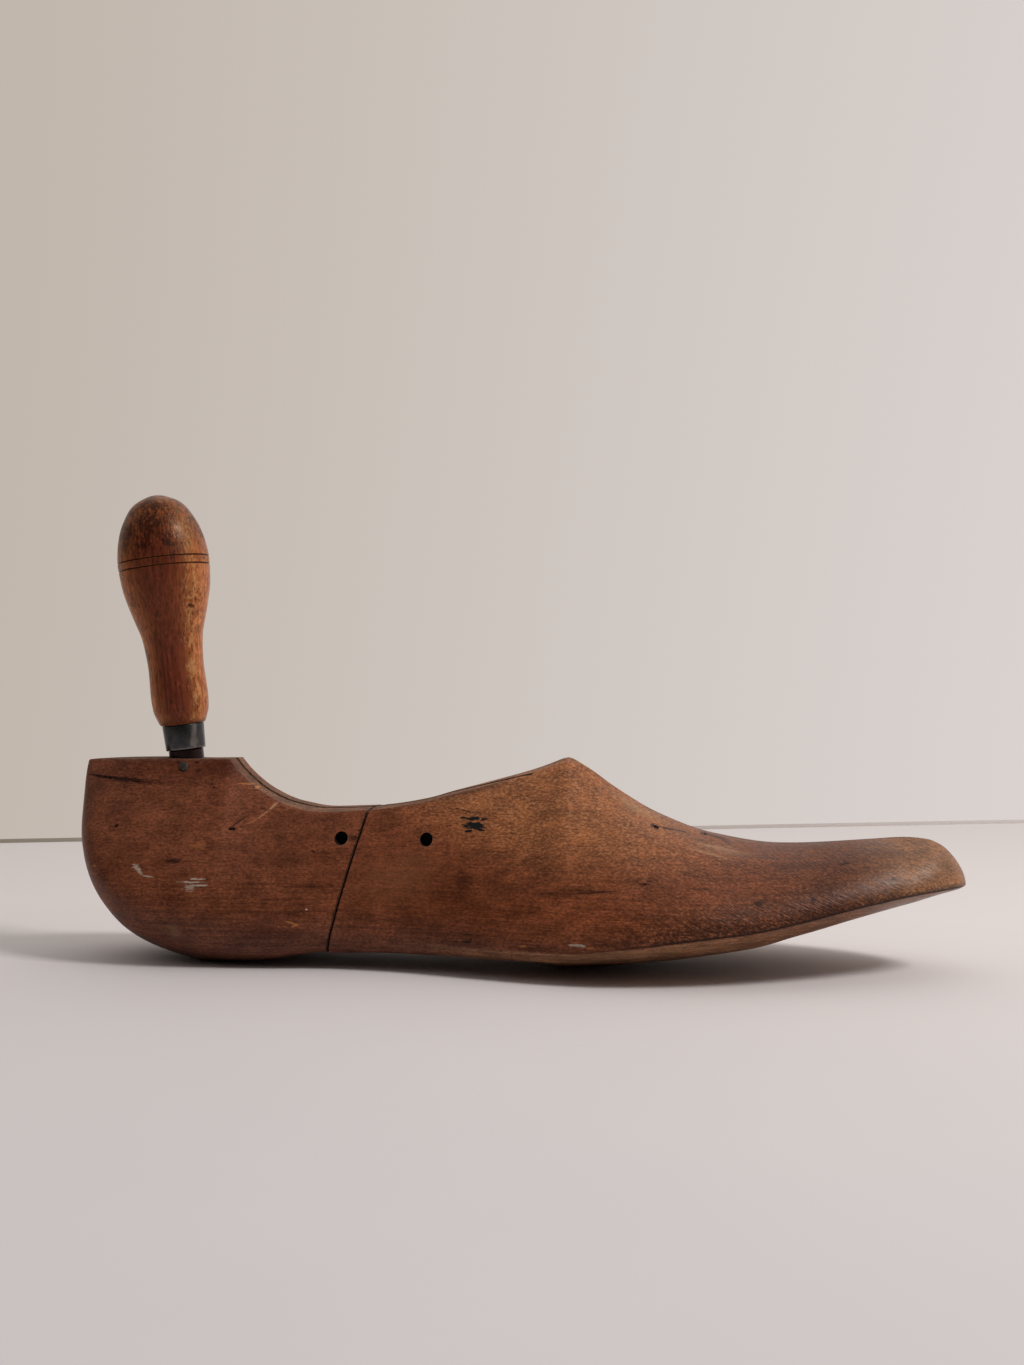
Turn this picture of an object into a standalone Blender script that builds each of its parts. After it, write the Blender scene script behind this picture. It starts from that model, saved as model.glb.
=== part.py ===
"""Hinged wooden shoe last for a right shoe, with a turned handle in the top of its heel.

The toe points to +X, the outer side of the foot faces -Y and the last stands on Z = 0. The wood is one lofted
form, sawn in two at a slanted joint. A flat steel link lies in a saw slot along the comb and joins the halves
on two cross pins, so that the heel half folds up. Lengths are in metres.
"""

from math import acos, ceil, cos, pi, radians, sin, tan

import bmesh
import bpy
from mathutils import Matrix, Vector

# The last as a whole
LAST_LENGTH = 0.2877
HEEL_HEIGHT = 0.0652
COMB_HEIGHT = 0.0491
PEAK_HEIGHT = 0.0655
VAMP_HEIGHT = 0.0387
TOE_BOX_HEIGHT = 0.0414
TOE_SPRING = 0.0271
WAIST_LIFT = 0.0042

# Places along the last, from the back of the heel
PLATE_END = 0.0518
PEAK_PLACE = 0.1619

# Half widths of the body
HEEL_HALF_WIDTH = 0.0292
WAIST_HALF_WIDTH = 0.0245
BALL_HALF_WIDTH = 0.0432
TOE_TURN = 0.0040

# The flat top and the tread of the sole
PLATE_HALF_WIDTH = 0.0087
PLATE_FRONT_HALF_WIDTH = 0.0074
COMB_HALF_WIDTH = 0.0125
COMB_CROWN = 0.0005
COMB_TILT = 0.0009
EDGE_ROUND = 0.0011
EDGE_DROP = 0.0004
TREAD_HALF_WIDTH = 0.0080

# How full the sides and the sole are: how far each end of their curves holds its own direction,
# as a share of the curve's span. The sharp corners of the side view fade out down the sides
SHOULDER_HOLD = 0.33
SIDE_HOLD = 0.28
TUCK_HOLD = 0.34
ROUND_SOLE_HOLD = 0.36
SQUARE_SOLE_HOLD = 0.70
CORNER_FADE = 0.0120

# The slanted saw cut between the halves
JOINT_PLACE = 0.0990
JOINT_LEAN = radians(13.6)
JOINT_GAP = 0.00045
JOINT_STEP = 0.0009
JOINT_STEP_LENGTH = 0.0240

# The slot that a circular saw leaves along the comb
SAW_RADIUS = 0.0559
SAW_PLACE = 0.1020
SLOT_DEPTH = 0.0171
SLOT_WIDTH = 0.0025

# The hinge
PIN_SPACING = 0.0276
REAR_PIN_PLACE = 0.0914
PIN_HEIGHT = 0.0407
PIN_RADIUS = 0.0018
PIN_RECESS = 0.0042
LINK_WIDTH = 0.0090

# The handle
HANDLE_PLACE = 0.0345
HANDLE_LEAN = radians(6.6)
HANDLE_TILT = radians(1.2)
SPINDLE_RADIUS = 0.0057
SPINDLE_CHAMFER = 0.0007
SPINDLE_SHOWING = 0.0028
SOCKET_DEPTH = 0.0260
TANG_ROOT_RADIUS = 0.0036
TANG_TIP_RADIUS = 0.0024
TANG_LENGTH = 0.0560
FERRULE_HEIGHT = 0.0081
FERRULE_TOP_RADIUS = 0.00685
FERRULE_FOOT_RADIUS = 0.0065
FERRULE_WALL = 0.0010
FERRULE_LIP = 0.0003
GRIP_LENGTH = 0.0770
GRIP_RADIUS = 0.0150
GRIP_WAIST_RADIUS = 0.0091
UPPER_RING_DROP = 0.0218
LOWER_RING_DROP = 0.0245
RING_DEPTH = 0.0003
RING_WIDTH = 0.0006
HANDLE_PIN_RADIUS = 0.00165
HANDLE_PIN_PLACE = 0.0364
HANDLE_PIN_DROP = 0.0026

# Fits: what lies in a hole, a slot or a seat keeps this much room on each side
CLEARANCE = 0.0003

# Fineness of the meshes
STATION_STEP = 0.0055
END_LENGTH = 0.0120
END_STATIONS = 8
END_WIDTH = 0.00001
SIDE_POINTS = 12
SOLE_POINTS = 8
TOP_POINTS = 6
ROUND_SEGMENTS = 40
SMALL_SEGMENTS = 24

for old in list(bpy.data.objects):
    bpy.data.objects.remove(old, do_unlink=True)


def heel(share):
    """Place along the last at a share of the flat top plate."""
    return share * PLATE_END


def comb(share):
    """Place along the last between the front of the plate and the instep's peak."""
    return PLATE_END + share * (PEAK_PLACE - PLATE_END)


def fore(share):
    """Place along the last between the instep's peak and the tip of the toe."""
    return PEAK_PLACE + share * (LAST_LENGTH - PEAK_PLACE)


def curve(*rows):
    """Smooth line through rows of (place, value), which never swings past a row.

    It runs over an angle that spreads the two ends out, so that a line may meet an end of the last
    square on and close it round.
    """
    def spread(place):
        return acos(1.0 - 2.0 * min(max(place / LAST_LENGTH, 0.0), 1.0))

    knots = [spread(place) for place, value in rows]
    values = [value for place, value in rows]
    steps = [b - a for a, b in zip(knots, knots[1:])]
    rises = [(b - a) / step for a, b, step in zip(values, values[1:], steps)]
    slopes = [rises[0]]
    for before, after, step_before, step_after in zip(rises, rises[1:], steps, steps[1:]):
        if before * after <= 0.0:
            slopes.append(0.0)
        else:
            near = 2.0 * step_after + step_before
            far = step_after + 2.0 * step_before
            slopes.append((near + far) / (near / before + far / after))
    slopes.append(rises[-1])

    def value_at(place):
        knot = spread(place)
        index = 0
        while index < len(steps) - 1 and knot > knots[index + 1]:
            index += 1
        step = steps[index]
        t = min(max((knot - knots[index]) / step, 0.0), 1.0)
        return (values[index] * (1 + 2 * t) * (1 - t) ** 2 + slopes[index] * step * t * (1 - t) ** 2
                + values[index + 1] * (3 - 2 * t) * t ** 2 - slopes[index + 1] * step * (1 - t) * t ** 2)

    return value_at


# Side view: the plate, the dip of the comb and its rise to the peak, and the instep down to the toe
plate_line = curve((0.0, HEEL_HEIGHT - 0.0030), (heel(0.003), HEEL_HEIGHT - 0.0012),
                   (heel(0.009), HEEL_HEIGHT - 0.0003), (heel(0.020), HEEL_HEIGHT), (PLATE_END, HEEL_HEIGHT))
comb_line = curve((PLATE_END, HEEL_HEIGHT),
                  (comb(0.03), COMB_HEIGHT + 0.76 * (HEEL_HEIGHT - COMB_HEIGHT)),
                  (comb(0.10), COMB_HEIGHT + 0.37 * (HEEL_HEIGHT - COMB_HEIGHT)),
                  (comb(0.18), COMB_HEIGHT + 0.11 * (HEEL_HEIGHT - COMB_HEIGHT)),
                  (comb(0.28), COMB_HEIGHT),
                  (comb(0.43), COMB_HEIGHT + 0.04 * (PEAK_HEIGHT - COMB_HEIGHT)),
                  (comb(0.57), COMB_HEIGHT + 0.17 * (PEAK_HEIGHT - COMB_HEIGHT)),
                  (comb(0.66), COMB_HEIGHT + 0.33 * (PEAK_HEIGHT - COMB_HEIGHT)),
                  (comb(0.91), COMB_HEIGHT + 0.78 * (PEAK_HEIGHT - COMB_HEIGHT)),
                  (comb(0.97), COMB_HEIGHT + 0.94 * (PEAK_HEIGHT - COMB_HEIGHT)),
                  (comb(0.985), COMB_HEIGHT + 0.98 * (PEAK_HEIGHT - COMB_HEIGHT)),
                  (PEAK_PLACE, PEAK_HEIGHT),
                  (fore(0.015), VAMP_HEIGHT + 0.98 * (PEAK_HEIGHT - VAMP_HEIGHT)),
                  (fore(0.045), VAMP_HEIGHT + 0.91 * (PEAK_HEIGHT - VAMP_HEIGHT)),
                  (fore(0.125), VAMP_HEIGHT + 0.65 * (PEAK_HEIGHT - VAMP_HEIGHT)),
                  (fore(0.24), VAMP_HEIGHT + 0.335 * (PEAK_HEIGHT - VAMP_HEIGHT)),
                  (fore(0.36), VAMP_HEIGHT + 0.13 * (PEAK_HEIGHT - VAMP_HEIGHT)),
                  (fore(0.54), VAMP_HEIGHT),
                  (fore(0.85), TOE_BOX_HEIGHT),
                  (fore(0.905), TOE_BOX_HEIGHT - 0.0005),
                  (fore(0.943), TOE_BOX_HEIGHT - 0.0025),
                  (fore(0.969), TOE_BOX_HEIGHT - 0.0056),
                  (fore(0.987), TOE_SPRING + 0.0054),
                  (LAST_LENGTH, TOE_SPRING))

# Side view: the sole, which stands at the heel and at the ball
sole_line = curve((0.0, 0.0400), (heel(0.009), 0.0366), (heel(0.046), 0.0312),
                  (heel(0.116), 0.0243), (heel(0.224), 0.0158), (heel(0.364), 0.0090),
                  (heel(0.56), 0.0037), (heel(0.74), 0.0008), (heel(0.89), -0.0002),
                  (comb(0.045), 0.0001), (comb(0.15), 0.25 * WAIST_LIFT), (comb(0.32), WAIST_LIFT),
                  (comb(0.52), 1.13 * WAIST_LIFT), (comb(0.67), 1.10 * WAIST_LIFT),
                  (comb(0.82), 0.80 * WAIST_LIFT), (comb(0.93), 0.35 * WAIST_LIFT), (PEAK_PLACE, -0.0001),
                  (fore(0.115), 0.0007), (fore(0.24), 0.0025), (fore(0.36), 0.0048), (fore(0.48), 0.0077),
                  (fore(0.58), 0.0114), (fore(0.71), 0.0163), (fore(0.83), 0.0208),
                  (fore(0.94), 0.0248), (LAST_LENGTH, TOE_SPRING))

# Side view: the height at which the body is widest, which is the feather edge round the fore part
feather_line = curve((0.0, 0.0460), (heel(0.05), 0.0400), (heel(0.22), 0.0295),
                     (heel(0.55), 0.0195), (PLATE_END, 0.0145), (comb(0.43), 0.0108), (comb(0.75), 0.0098),
                     (PEAK_PLACE, 0.0098), (fore(0.165), 0.0117), (fore(0.32), 0.0142), (fore(0.48), 0.0166),
                     (fore(0.57), 0.0188), (fore(0.73), 0.0230), (fore(0.89), 0.0259),
                     (LAST_LENGTH, TOE_SPRING))

# Plan view: how far the body reaches from the slot's plane, on the outer and on the inner side
outer_line = curve((0.0, 0.0), (heel(0.055), 0.42 * HEEL_HALF_WIDTH), (heel(0.22), 0.76 * HEEL_HALF_WIDTH),
                   (heel(0.55), 0.955 * HEEL_HALF_WIDTH), (heel(0.92), HEEL_HALF_WIDTH),
                   (comb(0.20), 0.935 * HEEL_HALF_WIDTH), (comb(0.41), WAIST_HALF_WIDTH + 0.0003),
                   (comb(0.60), WAIST_HALF_WIDTH + 0.0030), (comb(0.82), 0.80 * BALL_HALF_WIDTH),
                   (fore(0.04), 0.955 * BALL_HALF_WIDTH), (fore(0.16), BALL_HALF_WIDTH),
                   (fore(0.32), 0.965 * BALL_HALF_WIDTH), (fore(0.48), 0.86 * BALL_HALF_WIDTH),
                   (fore(0.64), 0.70 * BALL_HALF_WIDTH), (fore(0.76), 0.54 * BALL_HALF_WIDTH),
                   (fore(0.86), 0.375 * BALL_HALF_WIDTH), (fore(0.935), 0.22 * BALL_HALF_WIDTH),
                   (LAST_LENGTH, -TOE_TURN))
inner_line = curve((0.0, 0.0), (heel(0.055), 0.42 * HEEL_HALF_WIDTH), (heel(0.22), 0.76 * HEEL_HALF_WIDTH),
                   (heel(0.55), 0.955 * HEEL_HALF_WIDTH), (heel(0.92), HEEL_HALF_WIDTH),
                   (comb(0.20), 0.89 * HEEL_HALF_WIDTH), (comb(0.43), WAIST_HALF_WIDTH - 0.0026),
                   (comb(0.66), WAIST_HALF_WIDTH - 0.0004), (comb(0.88), 0.72 * BALL_HALF_WIDTH),
                   (fore(0.08), 0.93 * BALL_HALF_WIDTH), (fore(0.23), BALL_HALF_WIDTH),
                   (fore(0.39), 0.985 * BALL_HALF_WIDTH), (fore(0.54), 0.93 * BALL_HALF_WIDTH),
                   (fore(0.68), 0.82 * BALL_HALF_WIDTH), (fore(0.80), 0.67 * BALL_HALF_WIDTH),
                   (fore(0.89), 0.50 * BALL_HALF_WIDTH), (fore(0.955), 0.33 * BALL_HALF_WIDTH),
                   (LAST_LENGTH, TOE_TURN))

# Plan view: the edges of the flat top. Past the joint it veers to the inner side, and ends at the peak
top_outer_line = curve((0.0, 0.0), (heel(0.03), -0.15 * PLATE_HALF_WIDTH),
                       (heel(0.17), -0.50 * PLATE_HALF_WIDTH), (heel(0.50), -PLATE_HALF_WIDTH),
                       (PLATE_END, -PLATE_FRONT_HALF_WIDTH),
                       (comb(0.10), -1.04 * PLATE_FRONT_HALF_WIDTH), (comb(0.30), -COMB_HALF_WIDTH),
                       (comb(0.43), -0.90 * COMB_HALF_WIDTH), (comb(0.65), -0.62 * COMB_HALF_WIDTH),
                       (comb(0.91), 0.0), (PEAK_PLACE, 0.0030),
                       (fore(0.055), 0.0058), (fore(0.30), 0.0050), (fore(0.65), TOE_TURN),
                       (LAST_LENGTH, TOE_TURN))
top_inner_line = curve((0.0, 0.0), (heel(0.03), 0.15 * PLATE_HALF_WIDTH),
                       (heel(0.17), 0.50 * PLATE_HALF_WIDTH), (heel(0.50), PLATE_HALF_WIDTH),
                       (PLATE_END, PLATE_FRONT_HALF_WIDTH),
                       (comb(0.30), COMB_HALF_WIDTH), (comb(0.43), 0.92 * COMB_HALF_WIDTH),
                       (comb(0.65), COMB_HALF_WIDTH), (comb(0.91), COMB_HALF_WIDTH), (PEAK_PLACE, 0.0108),
                       (fore(0.055), 0.0068), (fore(0.30), 0.0056), (fore(0.65), TOE_TURN + 0.0004),
                       (LAST_LENGTH, TOE_TURN))

# How much higher the inner edge of the flat top stands than the outer one
inner_lift = curve((0.0, 0.0), (comb(0.45), 0.0), (comb(0.66), 0.5 * COMB_TILT), (comb(0.90), COMB_TILT),
                   (PEAK_PLACE, 0.5 * COMB_TILT), (fore(0.05), 0.0), (LAST_LENGTH, 0.0))

# How steeply the side leaves the flat top, and how sharply the sole turns in at the widest line
shoulder_angle = curve((0.0, radians(55)), (heel(0.5), radians(70)), (PLATE_END, radians(66)),
                       (comb(0.30), radians(56)), (comb(0.43), radians(60)), (comb(0.66), radians(46)),
                       (comb(0.92), radians(38)),
                       (fore(0.06), radians(22)), (fore(0.16), radians(10)), (fore(0.32), radians(3)),
                       (fore(0.5), 0.0), (LAST_LENGTH, 0.0))
tuck_angle = curve((0.0, 0.0), (heel(0.9), radians(8)), (comb(0.43), radians(8)), (comb(0.85), radians(38)),
                   (fore(0.10), radians(60)), (fore(0.80), radians(62)), (LAST_LENGTH, radians(45)))

# How far out the sole stays flat: furthest at the waist, which is the squarest
sole_hold = curve((0.0, ROUND_SOLE_HOLD), (heel(0.6), ROUND_SOLE_HOLD), (comb(0.20), SQUARE_SOLE_HOLD),
                  (comb(0.55), SQUARE_SOLE_HOLD), (PEAK_PLACE, ROUND_SOLE_HOLD),
                  (LAST_LENGTH, ROUND_SOLE_HOLD))

# How steeply the sole rises from its flat tread: most at the ball, which rolls from side to side
camber_angle = curve((0.0, 0.0), (comb(0.55), 0.0), (comb(0.78), radians(7)), (PEAK_PLACE, radians(17)),
                     (fore(0.18), radians(11)), (fore(0.34), radians(3)), (fore(0.50), 0.0),
                     (LAST_LENGTH, 0.0))


def top_line(place):
    return plate_line(place) if place <= PLATE_END else comb_line(place)


def bezier(start, start_pull, end_pull, end, count):
    """Points of a cubic curve from start to end, with both ends."""
    points = []
    for index in range(count + 1):
        t = index / count
        points.append(start * (1 - t) ** 3 + start_pull * 3 * t * (1 - t) ** 2
                      + end_pull * 3 * t ** 2 * (1 - t) + end * t ** 3)
    return points


def width_at(place):
    return outer_line(place) + inner_line(place)


def flank(place, side):
    """Points (y, z) down one side, from the edge of the flat top to the middle of the sole.

    side is -1 for the outer side of the foot and 1 for the inner side.
    """
    edge = top_outer_line(place) if side < 0 else top_inner_line(place)
    reach = side * (outer_line(place) if side < 0 else inner_line(place))
    top = Vector((edge, top_line(place) + (inner_lift(place) if side > 0 else 0.0)))
    widest = Vector((reach, feather_line(place)))
    fall = (top - widest).length
    leave = Vector((side * cos(shoulder_angle(place)), -sin(shoulder_angle(place))))
    soft = min(CORNER_FADE, place, LAST_LENGTH - place)
    softened = (top_line(place - soft) + top_line(place + soft) + 2 * top_line(place)) / 4
    side_points = bezier(top, Vector((edge, softened)) + leave * SHOULDER_HOLD * fall,
                         widest + Vector((0.0, SIDE_HOLD * fall)), widest, SIDE_POINTS)
    centre = (inner_line(place) - outer_line(place)) / 2
    middle = Vector((centre + side * min(TREAD_HALF_WIDTH, width_at(place) / 5), sole_line(place)))
    under = (widest - middle).length
    turn = Vector((-side * sin(tuck_angle(place)), -cos(tuck_angle(place))))
    rise = Vector((side * cos(camber_angle(place)), sin(camber_angle(place))))
    sole_points = bezier(widest, widest + turn * TUCK_HOLD * under,
                         middle + rise * sole_hold(place) * under, middle, SOLE_POINTS)
    return side_points + sole_points[1:]


def section(place):
    """Ring of points round the last at a place along it, planed flat where it stands.

    At both ends the body has no width left and the ring closes to an upright line or to a point.
    """
    outer = flank(place, -1)
    inner = flank(place, 1)
    width = inner[0].x - outer[0].x
    narrowed = min(1.0, width / (4 * EDGE_ROUND))
    round_off = narrowed * EDGE_ROUND
    crown = COMB_CROWN * min(1.0, width / COMB_HALF_WIDTH) if place > PLATE_END else 0.0
    top = []
    for index in range(TOP_POINTS + 1):
        share = index / TOP_POINTS
        across = inner[0].x - round_off - share * (width - 2 * round_off)
        height = inner[0].y + share * (outer[0].y - inner[0].y)
        top.append(Vector((across, height - crown * (2 * share - 1) ** 2)))
    for edge in (outer[0], inner[0]):
        edge.y -= narrowed * EDGE_DROP
    ring = top + outer + inner[::-1]
    if width_at(place) < END_WIDTH:
        return [Vector((place, top_outer_line(place), point.y)) for point in ring]
    return [Vector((place, point.x, max(point.y, 0.0))) for point in ring]


def half_width_at(place, height, side):
    """How far the wood reaches to one side at a place and a height."""
    points = flank(place, side)[:SIDE_POINTS + 1]
    for above, below in zip(points, points[1:]):
        if below.y <= height < above.y:
            share = (above.y - height) / (above.y - below.y)
            return abs(above.x + share * (below.x - above.x))
    return abs(points[-1].x)


def stations():
    """Places of the sections: close together at both ends, with one at each corner of the side view."""
    ends = [END_LENGTH * (1 - cos(pi / 2 * index / END_STATIONS)) for index in range(END_STATIONS + 1)]
    places = list(ends)
    bounds = (END_LENGTH, PLATE_END, PEAK_PLACE, LAST_LENGTH - END_LENGTH)
    for start, end in zip(bounds, bounds[1:]):
        count = max(1, ceil((end - start) / STATION_STEP))
        places += [start + (end - start) * index / count for index in range(1, count + 1)]
    places += [comb(0.97), comb(0.985), fore(0.015), fore(0.03)]
    return sorted(places) + [LAST_LENGTH - place for place in ends[-2::-1]]


def lofted_last():
    """The whole last as one closed skin."""
    form = bmesh.new()
    rings = [[form.verts.new(point) for point in section(place)] for place in stations()]
    for ring, following in zip(rings, rings[1:]):
        count = len(ring)
        for index in range(count):
            after = (index + 1) % count
            form.faces.new((ring[index], ring[after], following[after], following[index]))
    bmesh.ops.remove_doubles(form, verts=form.verts, dist=1e-6)
    bmesh.ops.dissolve_degenerate(form, edges=form.edges, dist=1e-6)
    bmesh.ops.recalc_face_normals(form, faces=form.faces)
    return form


def sawn_half(front):
    """One half of the last: the skin cut at the joint, with its end grain closed.

    The front half's sole stands a little lower than the heel's where they meet.
    """
    form = lofted_last()
    joint_top = Vector((JOINT_PLACE, 0.0, top_line(JOINT_PLACE)))
    normal = Vector((cos(JOINT_LEAN), 0.0, -sin(JOINT_LEAN)))
    if front:
        normal = -normal
    bmesh.ops.bisect_plane(form, geom=form.verts[:] + form.edges[:] + form.faces[:], dist=1e-7,
                           plane_co=joint_top - normal * JOINT_GAP / 2, plane_no=normal, clear_outer=True)
    rim = [edge for edge in form.edges if edge.is_boundary]
    bmesh.ops.holes_fill(form, edges=rim, sides=0)
    if front:
        step_start = JOINT_PLACE - tan(JOINT_LEAN) * COMB_HEIGHT
        for vert in form.verts:
            near = min(max(1.0 - (vert.co.x - step_start) / JOINT_STEP_LENGTH, 0.0), 1.0)
            low = max(1.0 - vert.co.z / feather_line(vert.co.x), 0.0)
            vert.co.z -= JOINT_STEP * near * low
    bmesh.ops.recalc_face_normals(form, faces=form.faces)
    return form


def rod(radius, start, end, segments):
    """Solid round bar between two points."""
    form = bmesh.new()
    axis = end - start
    bmesh.ops.create_cone(form, cap_ends=True, segments=segments, radius1=radius, radius2=radius,
                          depth=axis.length)
    turn = axis.to_track_quat("Z", "Y").to_matrix().to_4x4()
    bmesh.ops.transform(form, matrix=Matrix.Translation((start + end) / 2) @ turn, verts=form.verts)
    return form


def cross_rod(radius, place, height, outer_end, inner_end, segments):
    """Round bar across the last, from the outer side's end to the inner side's end."""
    return rod(radius, Vector((place, outer_end, height)), Vector((place, inner_end, height)), segments)


def turned(profile):
    """Solid turned about Z from a profile of (radius, height), closed on the axis or on itself."""
    form = bmesh.new()
    points = [form.verts.new((radius, 0.0, height)) for radius, height in profile]
    edges = [form.edges.new(pair) for pair in zip(points, points[1:])]
    if profile[0][0] > 0.0:
        edges.append(form.edges.new((points[-1], points[0])))
    bmesh.ops.spin(form, geom=points + edges, cent=(0, 0, 0), axis=(0, 0, 1), angle=2 * pi,
                   steps=ROUND_SEGMENTS, use_merge=True)
    bmesh.ops.remove_doubles(form, verts=form.verts, dist=1e-6)
    bmesh.ops.recalc_face_normals(form, faces=form.faces)
    return form


def material(name, colour, roughness, metallic=0.0):
    made = bpy.data.materials.new(name)
    made.use_nodes = True
    shader = made.node_tree.nodes["Principled BSDF"]
    shader.inputs["Base Color"].default_value = (*colour, 1.0)
    shader.inputs["Roughness"].default_value = roughness
    shader.inputs["Metallic"].default_value = metallic
    return made


def piece(name, form, finish, parent, origin, crease=30):
    """Object whose mesh is given in the last's own places, with its origin moved to a point of its own."""
    mesh = bpy.data.meshes.new(name)
    bmesh.ops.translate(form, vec=-origin, verts=form.verts)
    form.to_mesh(mesh)
    form.free()
    mesh.shade_smooth()
    mesh.set_sharp_from_angle(angle=radians(crease))
    made = bpy.data.objects.new(name, mesh)
    bpy.context.collection.objects.link(made)
    if finish:
        mesh.materials.append(finish)
    hang(made, parent, origin)
    return made


def hang(made, parent, origin):
    """Parents an object and puts it at a point given in the last's own places."""
    made.parent = parent
    made["origin"] = tuple(origin)
    made.location = origin - Vector(parent["origin"]) if parent else origin


def pivot(name, parent, origin):
    made = bpy.data.objects.new(name, None)
    made.empty_display_size = 0.01
    bpy.context.collection.objects.link(made)
    hang(made, parent, origin)
    return made


def cut(target, name, form, parent=None):
    """Takes a form, given in the last's own places, out of a piece, with its cutter on the piece or a parent."""
    carrier = parent or target
    cutter = piece("cut_" + name, form, None, carrier, Vector(carrier["origin"]))
    cutter.hide_render = True
    cutter.display_type = "WIRE"
    taken = target.modifiers.new(name, "BOOLEAN")
    taken.operation = "DIFFERENCE"
    taken.solver = "EXACT"
    taken.object = cutter


# Places that several pieces share
FRONT_PIN_PLACE = REAR_PIN_PLACE + PIN_SPACING
PIN_HOLE_RADIUS = PIN_RADIUS + CLEARANCE
HANDLE_PIN_HOLE_RADIUS = HANDLE_PIN_RADIUS + CLEARANCE
HANDLE_PIN_HEIGHT = HEEL_HEIGHT - HANDLE_PIN_DROP
SAW_HEIGHT = COMB_HEIGHT - SLOT_DEPTH + SAW_RADIUS
PAST_THE_WOOD = 2 * BALL_HALF_WIDTH
front_axis = Vector((FRONT_PIN_PLACE, 0.0, PIN_HEIGHT))
rear_axis = Vector((REAR_PIN_PLACE, 0.0, PIN_HEIGHT))
handle_foot = Vector((HANDLE_PLACE, 0.0, HEEL_HEIGHT))
handle_axis = Vector((-tan(HANDLE_LEAN), -tan(HANDLE_TILT), 1.0)).normalized()

last_wood = material("beech_last", (0.36, 0.20, 0.10), 0.42)
grip_wood = material("varnished_grip", (0.40, 0.17, 0.06), 0.30)
dark_steel = material("dark_steel", (0.10, 0.10, 0.11), 0.38, 1.0)
grey_steel = material("grey_steel", (0.28, 0.28, 0.28), 0.45, 1.0)

middle = pivot("last", None, Vector((-LAST_LENGTH / 2, 0.0, 0.0)))
middle["origin"] = (0.0, 0.0, 0.0)
link_pivot = pivot("front_pivot", middle, front_axis)
heel_pivot = pivot("rear_pivot", link_pivot, rear_axis)


def saw_slot():
    return cross_rod(SAW_RADIUS, SAW_PLACE, SAW_HEIGHT, -SLOT_WIDTH / 2, SLOT_WIDTH / 2, 4 * ROUND_SEGMENTS)


def through_hole(radius, place, height):
    return cross_rod(radius, place, height, -PAST_THE_WOOD, PAST_THE_WOOD, SMALL_SEGMENTS)


# The two wooden halves
fore_block = piece("fore_block", sawn_half(front=True), last_wood, middle, Vector((0.0, 0.0, 0.0)))
cut(fore_block, "fore_slot", saw_slot())
cut(fore_block, "front_pin_hole", through_hole(PIN_HOLE_RADIUS, FRONT_PIN_PLACE, PIN_HEIGHT))

heel_block = piece("heel_block", sawn_half(front=False), last_wood, heel_pivot, rear_axis)
cut(heel_block, "heel_slot", saw_slot())
cut(heel_block, "rear_pin_hole", through_hole(PIN_HOLE_RADIUS, REAR_PIN_PLACE, PIN_HEIGHT))
cut(heel_block, "handle_pin_hole", through_hole(HANDLE_PIN_HOLE_RADIUS, HANDLE_PIN_PLACE, HANDLE_PIN_HEIGHT))
cut(heel_block, "spindle_socket", rod(SPINDLE_RADIUS + CLEARANCE, handle_foot - handle_axis * SOCKET_DEPTH,
                                      handle_foot + handle_axis * SOCKET_DEPTH, ROUND_SEGMENTS))

# The link: a flat bar with round ends, drilled for the two pins
link_half = SLOT_WIDTH / 2 - CLEARANCE
link_form = bmesh.new()
outline = []
for end, start_angle in ((front_axis, -pi / 2), (rear_axis, pi / 2)):
    for index in range(SMALL_SEGMENTS // 2 + 1):
        angle = start_angle + pi * index / (SMALL_SEGMENTS // 2)
        outline.append(link_form.verts.new((end.x + LINK_WIDTH / 2 * cos(angle), -link_half,
                                            end.z + LINK_WIDTH / 2 * sin(angle))))
bar_face = link_form.faces.new(outline)
grown = bmesh.ops.extrude_face_region(link_form, geom=[bar_face])
bmesh.ops.translate(link_form, vec=(0.0, 2 * link_half, 0.0),
                    verts=[item for item in grown["geom"] if isinstance(item, bmesh.types.BMVert)])
bmesh.ops.recalc_face_normals(link_form, faces=link_form.faces)
hinge_link = piece("hinge_link", link_form, grey_steel, link_pivot, front_axis)
cut(hinge_link, "front_eye", cross_rod(PIN_HOLE_RADIUS, FRONT_PIN_PLACE, PIN_HEIGHT, -LINK_WIDTH, LINK_WIDTH,
                                       SMALL_SEGMENTS))
cut(hinge_link, "rear_eye", cross_rod(PIN_HOLE_RADIUS, REAR_PIN_PLACE, PIN_HEIGHT, -LINK_WIDTH, LINK_WIDTH,
                                      SMALL_SEGMENTS))


# The cross pins: the hinge's two are driven in below the wood, the handle's is filed flush
def cross_pin(name, radius, place, height, recess, parent, origin):
    outer_end = recess - half_width_at(place, height, -1)
    inner_end = half_width_at(place, height, 1) - recess
    piece(name, cross_rod(radius, place, height, outer_end, inner_end, SMALL_SEGMENTS), grey_steel,
          parent, origin)


cross_pin("front_hinge_pin", PIN_RADIUS, FRONT_PIN_PLACE, PIN_HEIGHT, PIN_RECESS, middle, front_axis)
cross_pin("rear_hinge_pin", PIN_RADIUS, REAR_PIN_PLACE, PIN_HEIGHT, PIN_RECESS, heel_pivot, rear_axis)
cross_pin("handle_pin", HANDLE_PIN_RADIUS, HANDLE_PIN_PLACE, HANDLE_PIN_HEIGHT, 0.0, heel_pivot, rear_axis)

# The handle stands on its own leaning axis, with heights measured up from the heel's top plate
handle = pivot("handle", heel_pivot, handle_foot)
handle.rotation_euler = handle_axis.to_track_quat("Z", "Y").to_euler()


def handle_piece(name, profile, finish):
    made = piece(name, turned(profile), finish, None, Vector((0.0, 0.0, 0.0)))
    made.parent = handle
    made["origin"] = tuple(handle_foot)
    return made


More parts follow.
